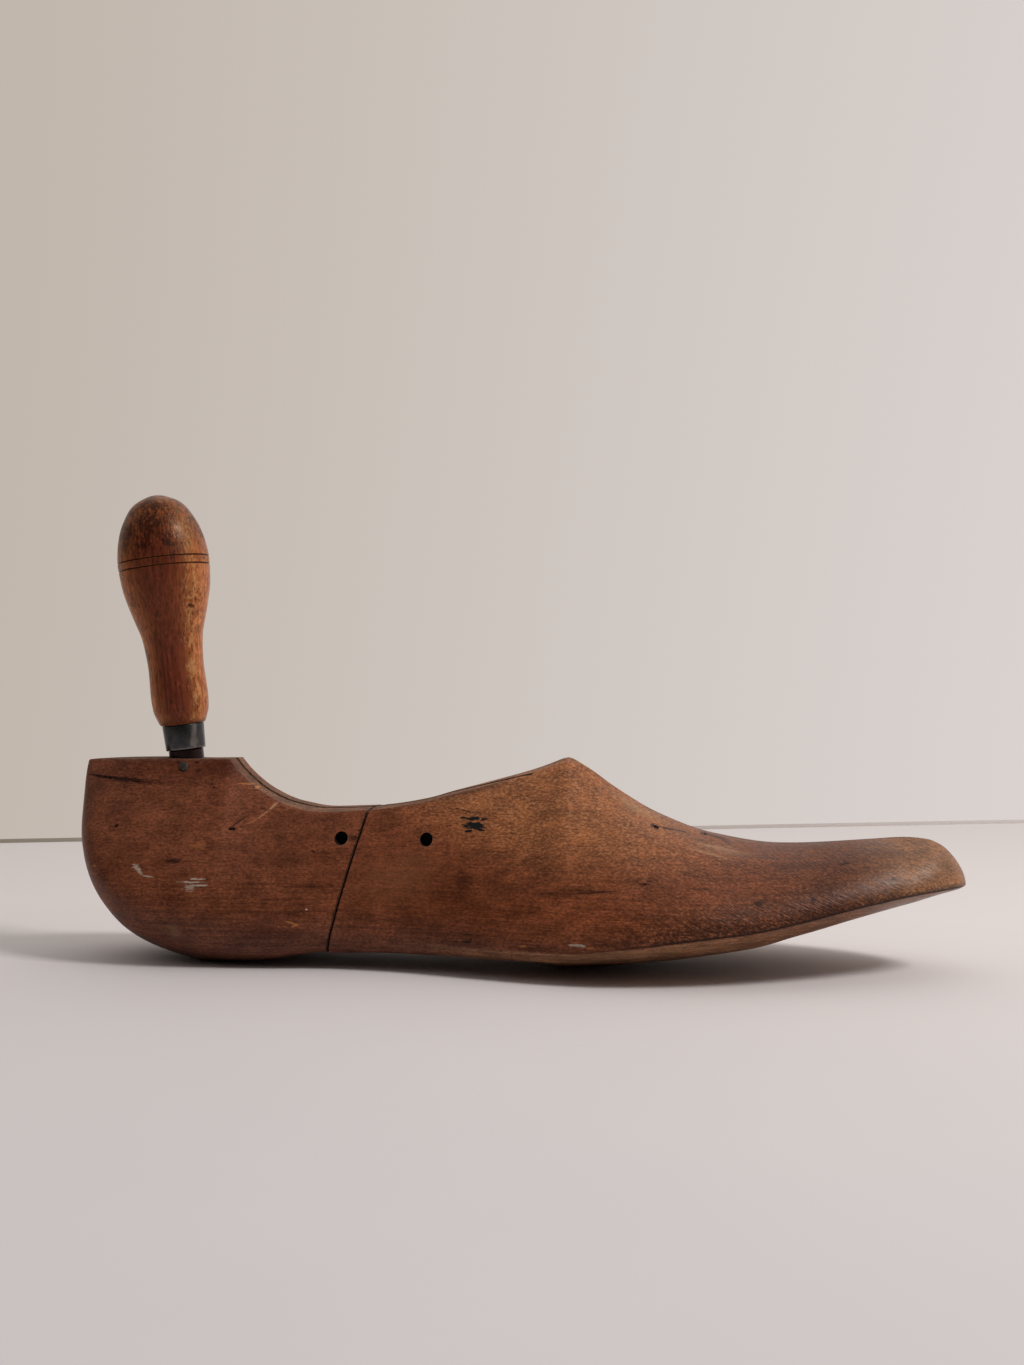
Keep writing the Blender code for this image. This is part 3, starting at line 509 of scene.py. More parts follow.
def finished(name, form):
    """Object at the origin, made of a form given in places along the last, with its rounds shaded smooth."""
    mesh = bpy.data.meshes.new(name)
    bmesh.ops.transform(form, matrix=to_row, verts=form.verts)
    form.to_mesh(mesh)
    form.free()
    mesh.shade_smooth()
    mesh.set_sharp_from_angle(angle=SHARP_ANGLE)
    made = bpy.data.objects.new(name, mesh)
    bpy.context.scene.collection.objects.link(made)
    return made


def carved(name, form, cutters):
    """Finished piece with the cutters' forms taken out of it."""
    made = finished(name, form)
    cutting = [finished("cutter", cutter) for cutter in cutters]
    for cutter in cutting:
        taken = made.modifiers.new("cut", "BOOLEAN")
        taken.operation = "DIFFERENCE"
        taken.solver = "EXACT"
        taken.object = cutter
    mesh = bpy.data.meshes.new_from_object(made.evaluated_get(bpy.context.evaluated_depsgraph_get()))
    made.modifiers.clear()
    made.data = mesh
    mesh.name = name
    for cutter in cutting:
        bpy.data.objects.remove(cutter, do_unlink=True)
    mesh.shade_smooth()
    mesh.set_sharp_from_angle(angle=SHARP_ANGLE)
    return made


def sawn_half(front):
    """The skin on one side of the joint, closed with its end grain, whose rim is eased with a fine chamfer.

    The front half's sole stands a little lower than the heel's where they meet.
    """
    form = bmesh.new()
    form.from_mesh(whole_last)
    normal = -joint_out if front else joint_out
    bmesh.ops.bisect_plane(form, geom=form.verts[:] + form.edges[:] + form.faces[:], dist=ON_PLANE,
                           plane_co=joint_top - normal * (JOINT_GAP / 2 + JOINT_RIM), plane_no=normal,
                           clear_outer=True)
    end_grain = bmesh.ops.holes_fill(form, edges=[edge for edge in form.edges if edge.is_boundary],
                                     sides=0)["faces"]
    bmesh.ops.recalc_face_normals(form, faces=form.faces)
    bmesh.ops.inset_region(form, faces=end_grain, thickness=JOINT_RIM, use_boundary=True)
    inner = {vert for face in end_grain for vert in face.verts}
    bmesh.ops.translate(form, vec=normal * JOINT_RIM, verts=list(inner))
    if front:
        step_start = JOINT_PLACE - tan(JOINT_LEAN) * COMB_HEIGHT
        for vert in form.verts:
            near = min(max(1.0 - (vert.co.x - step_start) / JOINT_STEP_LENGTH, 0.0), 1.0)
            low = max(1.0 - vert.co.z / feather_line(vert.co.x), 0.0)
            vert.co.z -= JOINT_STEP * near * low
    bmesh.ops.recalc_face_normals(form, faces=form.faces)
    return form


def saw_slot():
    return cross_rod(SAW_RADIUS, SAW_PLACE, SAW_HEIGHT, -SLOT_WIDTH / 2, SLOT_WIDTH / 2, SAW_SIDES)


def through_hole(radius, place, height):
    return cross_rod(radius, place, height, -BALL_HALF_WIDTH, BALL_HALF_WIDTH, HOLE_SIDES)


def on_side(x, z):
    """Point on the outer side, in places along the last, at x and z in mm as seen from that side."""
    place = x / 1000 + LAST_LENGTH / 2
    return Vector((place, -half_width_at(place, z / 1000, -1), z / 1000))


# The worn corner of the joint: a shallow groove which deepens to the far edge of the flat top
CHIP_RADIUS = 0.0010
CHIP_DEPTH = 0.0012
CHIP_START = -0.0020
CHIP_END = 0.0140
CHIP_SIDES = 16


def chip():
    top = top_line(JOINT_PLACE) + CHIP_RADIUS
    return rod(CHIP_RADIUS, Vector((JOINT_PLACE, CHIP_START, top)),
               Vector((JOINT_PLACE, CHIP_END, top - CHIP_DEPTH)), CHIP_SIDES)


def pits(*spots):
    """Round pits in the outer side, at x and z in mm and with a radius in m."""
    return [cross_rod(radius, *on_side(x, z).xz, on_side(x, z).y - PIT_START, on_side(x, z).y + PIT_DEPTH,
                      PIT_SIDES) for x, z, radius in spots]


# A fine crack runs forward from the back of the heel, with two nail pricks in it and some pits beyond
PIT_START = 0.001
PIT_DEPTH = 0.0006
PIT_SIDES = 10
CRACK_RADIUS = 0.00020
CRACK_SIDES = 6
CRACK = ((-141.8, 59.6), (-138.2, 59.4), (-134.9, 59.0), (-132.8, 58.8), (-128.4, 58.3), (-123.9, 57.9),
         (-119.0, 57.6))
heel_wear = [rod(CRACK_RADIUS, on_side(*start), on_side(*end), CRACK_SIDES)
             for start, end in zip(CRACK, CRACK[1:])]
heel_wear += pits((-134.9, 59.1, 0.00042), (-132.8, 58.7, 0.00055), (-97.0, 57.2, 0.00032),
                  (-96.1, 56.1, 0.00028), (-88.9, 43.2, 0.00050), (-88.0, 43.1, 0.00042),
                  (-126.6, 43.9, 0.00034), (-110.4, 37.9, 0.00024))
fore_wear = pits((46.8, 45.1, 0.00050), (47.6, 44.8, 0.00040), (62.4, 42.1, 0.00036), (44.6, 30.0, 0.00030))

fore_half = carved("fore_half", sawn_half(front=True), [
    saw_slot(), chip(), through_hole(PIN_RADIUS + CLEARANCE, FRONT_PIN_PLACE, PIN_HEIGHT)] + fore_wear)
heel_half = carved("heel_half", sawn_half(front=False), [
    saw_slot(), chip(), through_hole(PIN_RADIUS + CLEARANCE, REAR_PIN_PLACE, PIN_HEIGHT),
    through_hole(HANDLE_PIN_RADIUS + TIGHT, HANDLE_PIN_PLACE, HANDLE_PIN_HEIGHT),
    rod(SPINDLE_RADIUS + CLEARANCE, handle_foot - handle_axis * SOCKET_DEPTH,
        handle_foot + handle_axis * SOCKET_DEPTH, ROUND_SIDES)] + heel_wear)
bpy.data.meshes.remove(whole_last)

# Kept on the points for the finish: the height above the feather edge in mm, and how much is planed top
PLANED_EDGE = 0.0008
PLANED_DEPTH = 0.0012
for block in (fore_half, heel_half):
    above_edge = block.data.attributes.new("above_edge", "FLOAT", "POINT")
    planed = block.data.attributes.new("planed", "FLOAT", "POINT")
    for index, vert in enumerate(block.data.vertices):
        place = vert.co.x + LAST_LENGTH / 2
        above_edge.data[index].value = (vert.co.z - feather_line(place)) * 1000
        inside = min(top_inner_line(place) - vert.co.y, vert.co.y - top_outer_line(place))
        level = 1.0 - (top_line(place) + inner_lift(place) - vert.co.z) / PLANED_DEPTH
        planed.data[index].value = min(max(inside / PLANED_EDGE, 0.0), 1.0) * min(max(level, 0.0), 1.0)

# Beech, oiled and handled for decades: red-brown, golden round the peak, duller at the heel, darker ahead and
# worn pale at the toe. It is speckled at 1 mm, with fine lines along the grain lower down, and has a satin shine
beech, tree, wood_shader, where = finish("aged_oiled_beech")
patterns = {}
for name, cell, detail, rough in (("broad", (0.050, 0.030, 0.022), 2.0, 0.5),
                                  ("mottle", (0.0085, 0.0060, 0.0050), 3.0, 0.6),
                                  ("speckle", (0.00095, 0.00080, 0.00062), 2.0, 0.6),
                                  ("line", (0.030, 0.0065, 0.00065), 3.0, 0.6),
                                  ("dash", (0.0024, 0.0012, 0.00040), 1.0, 0.5),
                                  ("ragged", (0.0015, 0.0015, 0.00036), 2.0, 0.6)):
    stretched = add(tree, "Mapping", {"Vector": where, "Scale": cell}, vector_type="TEXTURE")
    patterns[name] = add(tree, "TexNoise", {"Vector": stretched, "Scale": 1.0, "Detail": detail,
                                            "Roughness": rough})
sides = add(tree, "SeparateXYZ", (where,)).node.outputs
edge_height = add(tree, "Attribute", (), "Fac", attribute_name="above_edge")
planed_top = add(tree, "Attribute", (), "Fac", attribute_name="planed")
planed_top = add(tree, "Math", (planed_top, 0.8), operation="MULTIPLY")

# Zones along the last, each from where it starts to where it is full, and how strong it is there
aft, ahead, tip, fore_part, toe_part = [
    add(tree, "MapRange", (sides["X"], start, full, 0.0, strength), interpolation_type="SMOOTHSTEP")
    for start, full, strength in ((0.01, -0.09, 0.85), (0.04, 0.11, 0.7), (0.100, 0.136, 0.85),
                                  (-0.045, 0.03, 1.0), (0.020, 0.060, 1.0))]
gold = add(tree, "Mapping", (where, (0.012, -0.008, 0.060), (0.0, radians(14), 0.0), (0.080, 0.070, 0.036)),
           vector_type="TEXTURE")
gold = add(tree, "TexGradient", (gold,), "Fac", gradient_type="SPHERICAL")
gold = add(tree, "MapRange", (gold, 0.02, 0.60), interpolation_type="SMOOTHSTEP")
gold_share = add(tree, "Math", (gold, 0.80), operation="MULTIPLY")

# Dust dulls the foot of the sides. The sole is paler where leather was pulled over it. The top is bare, and
# paler and greyer, its grey partly a painted reflection of the pale wall at a grazing angle.
# A coat is its share, its colour and, where it isn't laid over, how it is blended
dust = add(tree, "MapRange", (sides["Z"], 0.020, 0.003, 0.0, 0.55))
under = add(tree, "MapRange", (edge_height, 0.15, -0.6, 0.0, 0.85))
under = add(tree, "Math", (under, fore_part), operation="MULTIPLY")
leather_rubbed = add(tree, "Mix", {0: ahead, 6: "#aa7e5f", 7: "#805137"}, 2, data_type="RGBA")
coats = [(aft, "#77442e"), (ahead, "#4f2b1b"), (tip, "#90613b"), (gold_share, "#975d36"), (dust, "#62443a"),
         (under, leather_rubbed), (planed_top, "#766151")]

# Patches of deeper and paler oil, then the speckle, with pale flecks in the golden part and on the toe
for name, low, high in (("mottle", 0.74, 1.26), ("speckle", 0.64, 1.36)):
    coats.append((1.0, add(tree, "MapRange", (patterns[name], 0.34, 0.66, low, high)), "MULTIPLY"))
flecked = add(tree, "Math", (toe_part, 0.4, gold), operation="MULTIPLY_ADD")
pale = add(tree, "MapRange", (patterns["speckle"], 0.52, 0.66, 0.0, 0.30))
coats.append((add(tree, "Math", (pale, flecked), operation="MULTIPLY"), "#b8926a"))

# Growth lines, which show on the lower half and, darker on the whole, also paint shade there, and short dark pores
# all over
low_down = add(tree, "MapRange", (sides["Z"], 0.042, 0.020, 0.25, 1.0))
coats.append((low_down, add(tree, "MapRange", (patterns["line"], 0.34, 0.66, 0.62, 1.14)), "MULTIPLY"))
coats.append((add(tree, "MapRange", (patterns["dash"], 0.56, 0.70, 0.0, 0.60)), "#46200f"))

# Dirt above the fore part's feather edge, broken into specks and solid along the edge, and along the joint
above_only = add(tree, "Math", (edge_height, 0.0), operation="GREATER_THAN")
on_fore_side = add(tree, "Math", (toe_part, above_only), operation="MULTIPLY")
grime_reach = add(tree, "MapRange", (sides["X"], 0.050, 0.125, 11.0, 2.5))
grime = add(tree, "Math", (edge_height, grime_reach), operation="DIVIDE")
grime = add(tree, "MapRange", (grime, 1.0, 0.2))
specks = add(tree, "MapRange", (patterns["speckle"], 0.62, 0.42, 0.15, 0.80))
dirt_line = add(tree, "MapRange", (edge_height, 0.9, 0.45, 0.0, 0.88))
for share, part, paint in ((grime, specks, "#331c12"), (dirt_line, 1.0, "#2a1812")):
    share = add(tree, "Math", (share, on_fore_side), operation="MULTIPLY")
    coats.append((add(tree, "Math", (share, part), operation="MULTIPLY"), paint))
seam = add(tree, "VectorMath", (where, joint_out), "Value", operation="DOT_PRODUCT")
seam = add(tree, "Math", (seam, (joint_top + to_row.translation).dot(joint_out)), operation="SUBTRACT")
seam = add(tree, "Math", (seam,), operation="ABSOLUTE")
seam = add(tree, "Math", (patterns["ragged"], -0.0010, seam), operation="MULTIPLY_ADD")
coats.append((add(tree, "MapRange", (seam, 0.00012, -0.0001, 0.0, 0.85)), "#1c0e0a"))

# Marks of use on the outer side, and one pale patch of painted light, each an oval at x and z in mm, with its
# half length and half height, its lean down to the front in degrees, colour, strength and softness. Dry chalk
# breaks up more than the rest
MARK_SPREAD = 0.0018
MARK_DEPTH = 0.0100
TORN_EDGE = 0.20
TORN_CHALK_EDGE = 0.245
DARK, UMBER, INK, CHALK, RAW, DUSTY = "#26110a", "#3d1b11", "#0f1114", "#b8a698", "#b0713f", "#94785f"
MARKS = (
    (-135, 59, 8, 0.5, 5, DARK, 0.95, 0.2), (-127, 58.4, 8, 0.9, 5, DARK, 0.85, 0.4),
    (-98, 63.5, 50, 8, 0, "#431b0f", 0.55, 0.9), (-119.5, 57.8, 12, 1.3, 4, "#35170e", 0.75, 0.9),
    (-105, 33.5, 3, 0.8, 0, DARK, 0.85, 0.4), (-129, 28.5, 3, 3.2, 0, DARK, 0.5, 0.9),
    (-86.8, 45.3, 2.8, 0.28, -38, DARK, 0.85, 0.2), (-88.4, 43.2, 1.6, 0.5, 0, DARK, 0.95, 0.2),
    (-126.6, 43.9, 0.8, 0.6, 0, DARK, 0.85, 0.3), (-60.7, 36.6, 0.9, 0.4, 20, DARK, 0.85, 0.2),
    (-49.1, 40.8, 3, 1.1, 0, DARK, 0.7, 0.5), (-102.9, 64, 1, 0.5, 0, DARK, 0.75, 0.3),
    (-102.4, 61.4, 1.3, 0.7, 0, DARK, 0.65, 0.4), (-109.3, 64, 0.9, 0.5, 0, DARK, 0.7, 0.3),
    (-72, 22, 9, 0.5, 0, DARK, 0.45, 0.5), (-63, 26, 10, 0.35, 0, DARK, 0.5, 0.4),
    (-74, 12.5, 16, 2.4, 3, "#4a1f12", 0.55, 0.8), (-117.1, 31.4, 2.4, 0.9, 25, CHALK, 0.85, 0.4),
    (-116, 30.2, 1.6, 0.7, 35, CHALK, 0.7, 0.4), (-113.3, 28.8, 2.6, 0.3, 8, CHALK, 0.75, 0.3),
    (-96.4, 28.2, 3.4, 0.32, 0, CHALK, 0.85, 0.2), (-98.6, 27.2, 5.4, 0.35, 0, CHALK, 0.8, 0.3),
    (-96, 26.3, 3.8, 0.38, 2, CHALK, 0.85, 0.3), (-98.9, 25.5, 2.4, 1.4, 0, CHALK, 0.6, 0.5),
    (-61.5, 19.1, 0.35, 0.25, 0, "#d8cbbd", 0.8, 0.1), (25.1, 12.5, 3, 0.6, 0, CHALK, 0.8, 0.3),
    (27, 8.4, 2.4, 0.3, 0, CHALK, 0.5, 0.4), (-86.5, 57.2, 2.6, 0.3, 4, RAW, 0.8, 0.3),
    (-83.2, 56, 0.8, 0.35, 50, "#c2824d", 0.6, 0.3), (-76.6, 50.2, 1.7, 0.5, -45, "#b88f6b", 0.8, 0.3),
    (-79.3, 47.6, 2.8, 0.28, -38, "#b08560", 0.75, 0.3), (-82.6, 45.3, 1.9, 0.22, -25, RAW, 0.6, 0.3),
    (-65.9, 15, 2.2, 0.3, 16, RAW, 0.8, 0.3), (-64.8, 14.2, 1.2, 0.3, -20, RAW, 0.7, 0.3),
    (-132.4, 31.3, 0.9, 0.5, 0, RAW, 0.6, 0.4), (-97.9, 38, 2.4, 1.6, 0, RAW, 0.35, 0.8),
    (-104, 11, 3, 4, 0, DUSTY, 0.3, 0.9), (-52, 40.4, 2.6, 2.6, 0, "#8a6248", 0.45, 0.6),
    (-24.4, 40.4, 2.6, 2.6, 0, "#8a6248", 0.45, 0.6), (-22.6, 41.4, 1.8, 0.25, 5, DARK, 0.6, 0.3),
    (8.2, 11.2, 1.4, 0.5, 0, RAW, 0.7, 0.3), (29, 12, 1.6, 0.4, 0, RAW, 0.5, 0.4),
    (141.5, 28.9, 3.4, 1.6, 60, "#a5714a", 0.5, 0.7), (-13.1, 47.4, 1.7, 0.28, 5, INK, 1, 0.1),
    (-10.2, 47.2, 1.8, 0.6, 0, INK, 1, 0.1), (-6.8, 47.1, 1.2, 0.5, -8, INK, 1, 0.1),
    (-9.9, 45.1, 3.7, 1.15, 2, INK, 1, 0.1), (-11.3, 43.6, 1.4, 0.42, -12, INK, 1, 0.1),
    (-7.5, 43.9, 1.3, 0.38, 10, INK, 1, 0.1), (-13.6, 49.6, 3.4, 0.25, 12, DARK, 0.7, 0.3),
    (-10.4, 49, 2.2, 0.25, 0, DARK, 0.65, 0.3), (-11.5, 29.1, 3.6, 3.4, 0, "#3a190f", 0.7, 0.9),
    (4.2, 27.5, 9, 2.6, -3, DARK, 0.45, 0.9), (30.1, 27.6, 6.4, 0.36, -4, UMBER, 0.85, 0.3),
    (17, 26.7, 9, 0.3, -3, UMBER, 0.5, 0.5), (24, 27.3, 15, 1.3, -3, DARK, 0.35, 0.8),
    (-9.3, 13.5, 1.7, 0.25, 0, DARK, 0.7, 0.3), (-9.5, 11.2, 1.8, 0.32, 0, INK, 0.9, 0.2),
    (-13, 11.1, 0.6, 0.35, 0, DARK, 0.8, 0.2), (-8.3, 11.9, 0.6, 0.35, 0, DARK, 0.7, 0.2),
    (1.3, 9.4, 0.8, 0.5, 0, DARK, 0.7, 0.3), (44.6, 30, 1.9, 0.35, 0, UMBER, 0.9, 0.2),
    (46.8, 45.1, 1.5, 0.8, 20, UMBER, 0.95, 0.2), (50.8, 44.2, 3.2, 0.3, 12, UMBER, 0.9, 0.2),
    (55, 43.3, 1.7, 0.25, 16, UMBER, 0.8, 0.3), (62.4, 42.1, 1.5, 0.45, 10, UMBER, 0.95, 0.2),
    (65.8, 41.3, 3.4, 0.3, 14, UMBER, 0.85, 0.2), (68.9, 40.2, 1.7, 0.3, 20, UMBER, 0.8, 0.3),
    (65.8, 39, 7.5, 0.4, 11, "#ab7f5d", 0.5, 0.4), (63.5, 37.6, 8, 0.35, 14, "#ab7f5d", 0.45, 0.4),
    (68, 38.2, 10, 3.5, 8, DUSTY, 0.3, 0.9), (38, 53, 15, 2.4, 35, "#a8895c", 0.45, 0.9),
    (61, 28.8, 3.6, 0.5, 0, DARK, 0.5, 0.5), (104.6, 34.9, 1.7, 0.35, -10, DARK, 0.9, 0.2),
    (94.3, 25.7, 0.8, 0.9, 0, DARK, 0.85, 0.3), (91.8, 28.8, 0.8, 0.4, 0, DARK, 0.6, 0.3),
    (78.7, 25, 2.2, 0.9, -10, DARK, 0.65, 0.5), (118.9, 30.7, 0.9, 0.5, 10, DARK, 0.8, 0.3),
    (91, 34.2, 16, 1.3, -3, "#4c2415", 0.6, 0.8), (120.5, 37.1, 12, 1.5, -4, "#4d2a1a", 0.65, 0.9),
    # The second oval below is painted light: a soft pale patch ahead of the joint, where the side faces away from
    # the window
    (-14, 55.2, 26, 1.2, -12, "#4a2618", 0.75, 0.7), (-32, 30, 16, 14, 0, "#925e40", 0.35, 0.9))
for x, z, reach, height, lean, paint, strength, soft in MARKS:
    oval = add(tree, "Mapping", (where, on_side(x, z) + to_row.translation, (0.0, radians(lean), 0.0),
                                 (reach * MARK_SPREAD, MARK_DEPTH, height * MARK_SPREAD)), vector_type="TEXTURE")
    oval = add(tree, "TexGradient", (oval,), "Fac", gradient_type="SPHERICAL")
    oval = add(tree, "Math", (patterns["ragged"], oval), operation="MULTIPLY")
    edge = TORN_CHALK_EDGE if paint == CHALK else TORN_EDGE
    coats.append((add(tree, "MapRange", (oval, edge, edge + 0.03 + soft / 4, 0.0, strength)), paint))

tone = add(tree, "MapRange", (patterns["broad"], 0.35, 0.65))
colour = add(tree, "Mix", {0: tone, 6: "#753e24", 7: "#864a2d"}, 2, data_type="RGBA")
for share, paint, *blend in coats:
    colour = add(tree, "Mix", {0: share, 6: colour, 7: paint}, 2, data_type="RGBA", blend_type=(*blend, "MIX")[0])

# The toe is rubbed to a soft polish, and the bare top is dull
satin = add(tree, "MapRange", (patterns["mottle"], 0.3, 0.7, 0.36, 0.50))
polish = add(tree, "MapRange", (tip, 0.0, 1.0, 0.16, 0.45))
satin = add(tree, "Math", (planed_top, 0.5, satin), operation="MULTIPLY_ADD")
satin = add(tree, "Math", (tip, -0.08, satin), operation="MULTIPLY_ADD")
polish = add(tree, "Math", (planed_top, -0.15, polish), operation="MULTIPLY_ADD")

# Fine relief: open grain all over, and rasp marks across the toe
rasp = add(tree, "Mapping", {"Vector": where, "Rotation": (0.0, radians(25), 0.0),
                             "Scale": (0.0060, 0.0060, 0.00034)}, vector_type="TEXTURE")
rasp = add(tree, "TexNoise", {"Vector": rasp, "Scale": 1.0, "Detail": 1.0})
rasp = add(tree, "Math", (rasp, toe_part), operation="MULTIPLY")
relief = add(tree, "Math", (patterns["line"], 0.6, patterns["speckle"]), operation="MULTIPLY_ADD")
relief = add(tree, "Math", (rasp, 4.0, relief), operation="MULTIPLY_ADD")
bump = add(tree, "Bump", {"Strength": 0.50, "Distance": 0.00010, "Height": relief})
feed(wood_shader, {"Base Color": colour, "Roughness": satin, "Specular IOR Level": polish, "Normal": bump})

# Sawn beech inside the joint, the slot and the handle's socket: matt, dull brown and darkened by dirt, with
# the saw's fine arcs across it
sawn, tree, shader, where = finish("sawn_beech")
kerf = add(tree, "Mapping", {"Vector": where, "Location": (SAW_PLACE - LAST_LENGTH / 2, 0.0, SAW_HEIGHT),
                             "Scale": (0.0011, 0.01, 0.0011)}, vector_type="TEXTURE")
kerf = add(tree, "TexWave", {"Vector": kerf, "Scale": 0.32, "Distortion": 2.0, "Detail": 2.0}, "Fac",
           wave_type="RINGS", rings_direction="Y")
grit, blotch = [add(tree, "TexNoise", {"Vector": where, "Scale": scale, "Detail": 3.0}) for scale in (900.0, 120.0)]
blotch = add(tree, "MapRange", (blotch, 0.35, 0.65))
colour = add(tree, "Mix", {0: blotch, 6: "#4b3224", 7: "#7b5a41"}, 2, data_type="RGBA")
for worn in ((kerf, 0.0, 1.0, 0.80, 1.15), (grit, 0.3, 0.7, 0.75, 1.25)):
    colour = add(tree, "Mix", {0: 1.0, 6: colour, 7: add(tree, "MapRange", worn)}, 2, data_type="RGBA",
                 blend_type="MULTIPLY")
relief = add(tree, "Math", (kerf, grit), operation="ADD")
bump = add(tree, "Bump", {"Strength": 0.5, "Distance": 0.0001, "Height": relief})
feed(shader, {"Base Color": colour, "Roughness": 0.8, "Normal": bump})


def hole_shade_finish(name, grain, black, brown, roughness, sheen):
    """Dull, nearly black finish in grains so many to the metre, for painted shade deep in holes."""
    made, tree, shader, where = finish(name)
    cake = add(tree, "TexNoise", {"Vector": where, "Scale": grain, "Detail": 3.0})
    cake = add(tree, "MapRange", (cake, 0.35, 0.65))
    colour = add(tree, "Mix", {0: cake, 6: black, 7: brown}, 2, data_type="RGBA")
    bump = add(tree, "Bump", {"Strength": 0.4, "Distance": 0.0001, "Height": cake})
    feed(shader, {"Base Color": colour, "Roughness": roughness, "Specular IOR Level": sheen, "Normal": bump})
    return made


# Drilled beech in the holes of the hinge pins: end grain painted nearly black, as painted shade of the deep holes
bored = hole_shade_finish("shade_painted_bored_beech", 1200.0, "#0f0806", "#24140d", 0.8, 0.15)

NEAR = 0.0001
FACES_JOINT = 0.9
FACES_SIDE = 0.99
FACES_ALONG = 0.5
for block, node, body in ((fore_half, "fore_block", "forepart"), (heel_half, "heel_block", "heel")):
    block.data.materials.clear()
    for wood in (beech, sawn, bored):
        block.data.materials.append(wood)
    for polygon in block.data.polygons:
        spot = polygon.center - to_row.translation
        across = abs(polygon.normal.y)
        in_joint = (abs((spot - joint_top).dot(joint_out)) < JOINT_GAP
                    and abs(polygon.normal.dot(joint_out)) > FACES_JOINT)
        from_saw = Vector((spot.x - SAW_PLACE, spot.z - SAW_HEIGHT)).length
        in_slot = abs(spot.y) < SLOT_WIDTH / 2 + NEAR and from_saw < SAW_RADIUS + NEAR and (
            across > FACES_SIDE or from_saw > SAW_RADIUS - NEAR)
        in_hole = across < FACES_ALONG and any(
            Vector((spot.x - place, spot.z - PIN_HEIGHT)).length < PIN_RADIUS + CLEARANCE + NEAR
            for place in (FRONT_PIN_PLACE, REAR_PIN_PLACE))
        off_axis = (spot - handle_foot).cross(handle_axis).length
        in_socket = off_axis < SPINDLE_RADIUS + CLEARANCE + NEAR and spot.z < HEEL_HEIGHT - NEAR
        polygon.material_index = 2 if in_hole else 1 if in_joint or in_slot or in_socket else 0
    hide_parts(node)
    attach(block, body)

# The hinge link: a flat bar of mild steel with round ends, sawn and filed, which lies in the slot. Its two
# eyes are drilled for the pins, and its edges are broken with a file.
LINK_WIDTH = 0.0090
LINK_EDGE = 0.0002
LINK_EDGE_STEPS = 2
RIM_ANGLE = radians(60)


def ease_rims(form, width, segments):
    """Breaks the sharp rims of a form, as a file does."""
    rims = [edge for edge in form.edges if edge.calc_face_angle() > RIM_ANGLE]
    bmesh.ops.bevel(form, geom=rims, offset=width, offset_type="OFFSET", segments=segments, profile=0.5,
                    affect="EDGES", material=-1, clamp_overlap=True)


link_half = SLOT_WIDTH / 2 - CLEARANCE
link_form = bmesh.new()
bmesh.ops.create_circle(link_form, cap_ends=True, segments=ROUND_SIDES, radius=LINK_WIDTH / 2)
for vert in link_form.verts:
    vert.co.x += PIN_SPACING / 2 * (1 if vert.co.x > 0 else -1)
grown = bmesh.ops.extrude_face_region(link_form, geom=link_form.faces[:])["geom"]
bmesh.ops.translate(link_form, vec=(0.0, 0.0, 2 * link_half),
                    verts=[item for item in grown if isinstance(item, bmesh.types.BMVert)])
bmesh.ops.recalc_face_normals(link_form, faces=link_form.faces)
ease_rims(link_form, LINK_EDGE, LINK_EDGE_STEPS)
upright = Matrix.Rotation(radians(90), 4, "X")
centred = Matrix.Translation((REAR_PIN_PLACE + PIN_SPACING / 2, link_half, PIN_HEIGHT))
bmesh.ops.transform(link_form, matrix=centred @ upright, verts=link_form.verts)
link = carved("link", link_form, [
    cross_rod(PIN_RADIUS + CLEARANCE, place, PIN_HEIGHT, -LINK_WIDTH, LINK_WIDTH, HOLE_SIDES)
    for place in (FRONT_PIN_PLACE, REAR_PIN_PLACE)])

# Mild steel, ground along its length, gone brown-grey with thin rust
mild_steel, tree, shader, where = finish("ground_mild_steel")
ground = add(tree, "Mapping", {"Vector": where, "Scale": (0.0060, 0.0004, 0.00018)}, vector_type="TEXTURE")
ground = add(tree, "TexNoise", {"Vector": ground, "Scale": 1.0, "Detail": 2.0})
rust = add(tree, "TexNoise", {"Vector": where, "Scale": 420.0, "Detail": 4.0})
rust = add(tree, "MapRange", (rust, 0.42, 0.62))
clean = add(tree, "MapRange", (rust, 0.0, 1.0, 0.85, 0.40))
dull = add(tree, "MapRange", (rust, 0.0, 1.0, 0.42, 0.72))
colour = add(tree, "Mix", {0: rust, 6: "#605a56", 7: "#3b2e27"}, 2, data_type="RGBA")
bump = add(tree, "Bump", {"Strength": 0.3, "Distance": 0.00004, "Height": ground})
feed(shader, {"Base Color": colour, "Metallic": clean, "Roughness": dull, "Normal": bump})
link.data.materials.append(mild_steel)
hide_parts("hinge_link")
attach(link, "link")

# The cross pins: steel wire cut to length and driven through the wood. The hinge's two are punched in
# below the surface, and the one that locks the handle is filed flush with the heel.
PIN_RECESS = 0.0042
FLUSH = 0.0001
PIN_EDGE = 0.0003
PIN_EDGE_STEPS = 3

# The hinge pins' ends, sunk in their holes, are painted nearly black as painted shade
sunk_pin_shade = hole_shade_finish("shade_painted_wire", 900.0, "#0d0908", "#1a1310", 0.7, 0.2)
for name, node, body, radius, place, height, recess in (
        ("front_pin", "front_hinge_pin", "forepart", PIN_RADIUS, FRONT_PIN_PLACE, PIN_HEIGHT, PIN_RECESS),
        ("rear_pin", "rear_hinge_pin", "heel", PIN_RADIUS, REAR_PIN_PLACE, PIN_HEIGHT, PIN_RECESS),
        ("locking_pin", "handle_pin", "heel", HANDLE_PIN_RADIUS, HANDLE_PIN_PLACE, HANDLE_PIN_HEIGHT, FLUSH)):
    form = cross_rod(radius, place, height, recess - half_width_at(place, height, -1),
                     half_width_at(place, height, 1) - recess, HOLE_SIDES)
    ease_rims(form, PIN_EDGE, PIN_EDGE_STEPS)
    pin = finished(name, form)
    pin.data.materials.append(mild_steel if node == "handle_pin" else sunk_pin_shade)
    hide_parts(node)
    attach(pin, body)
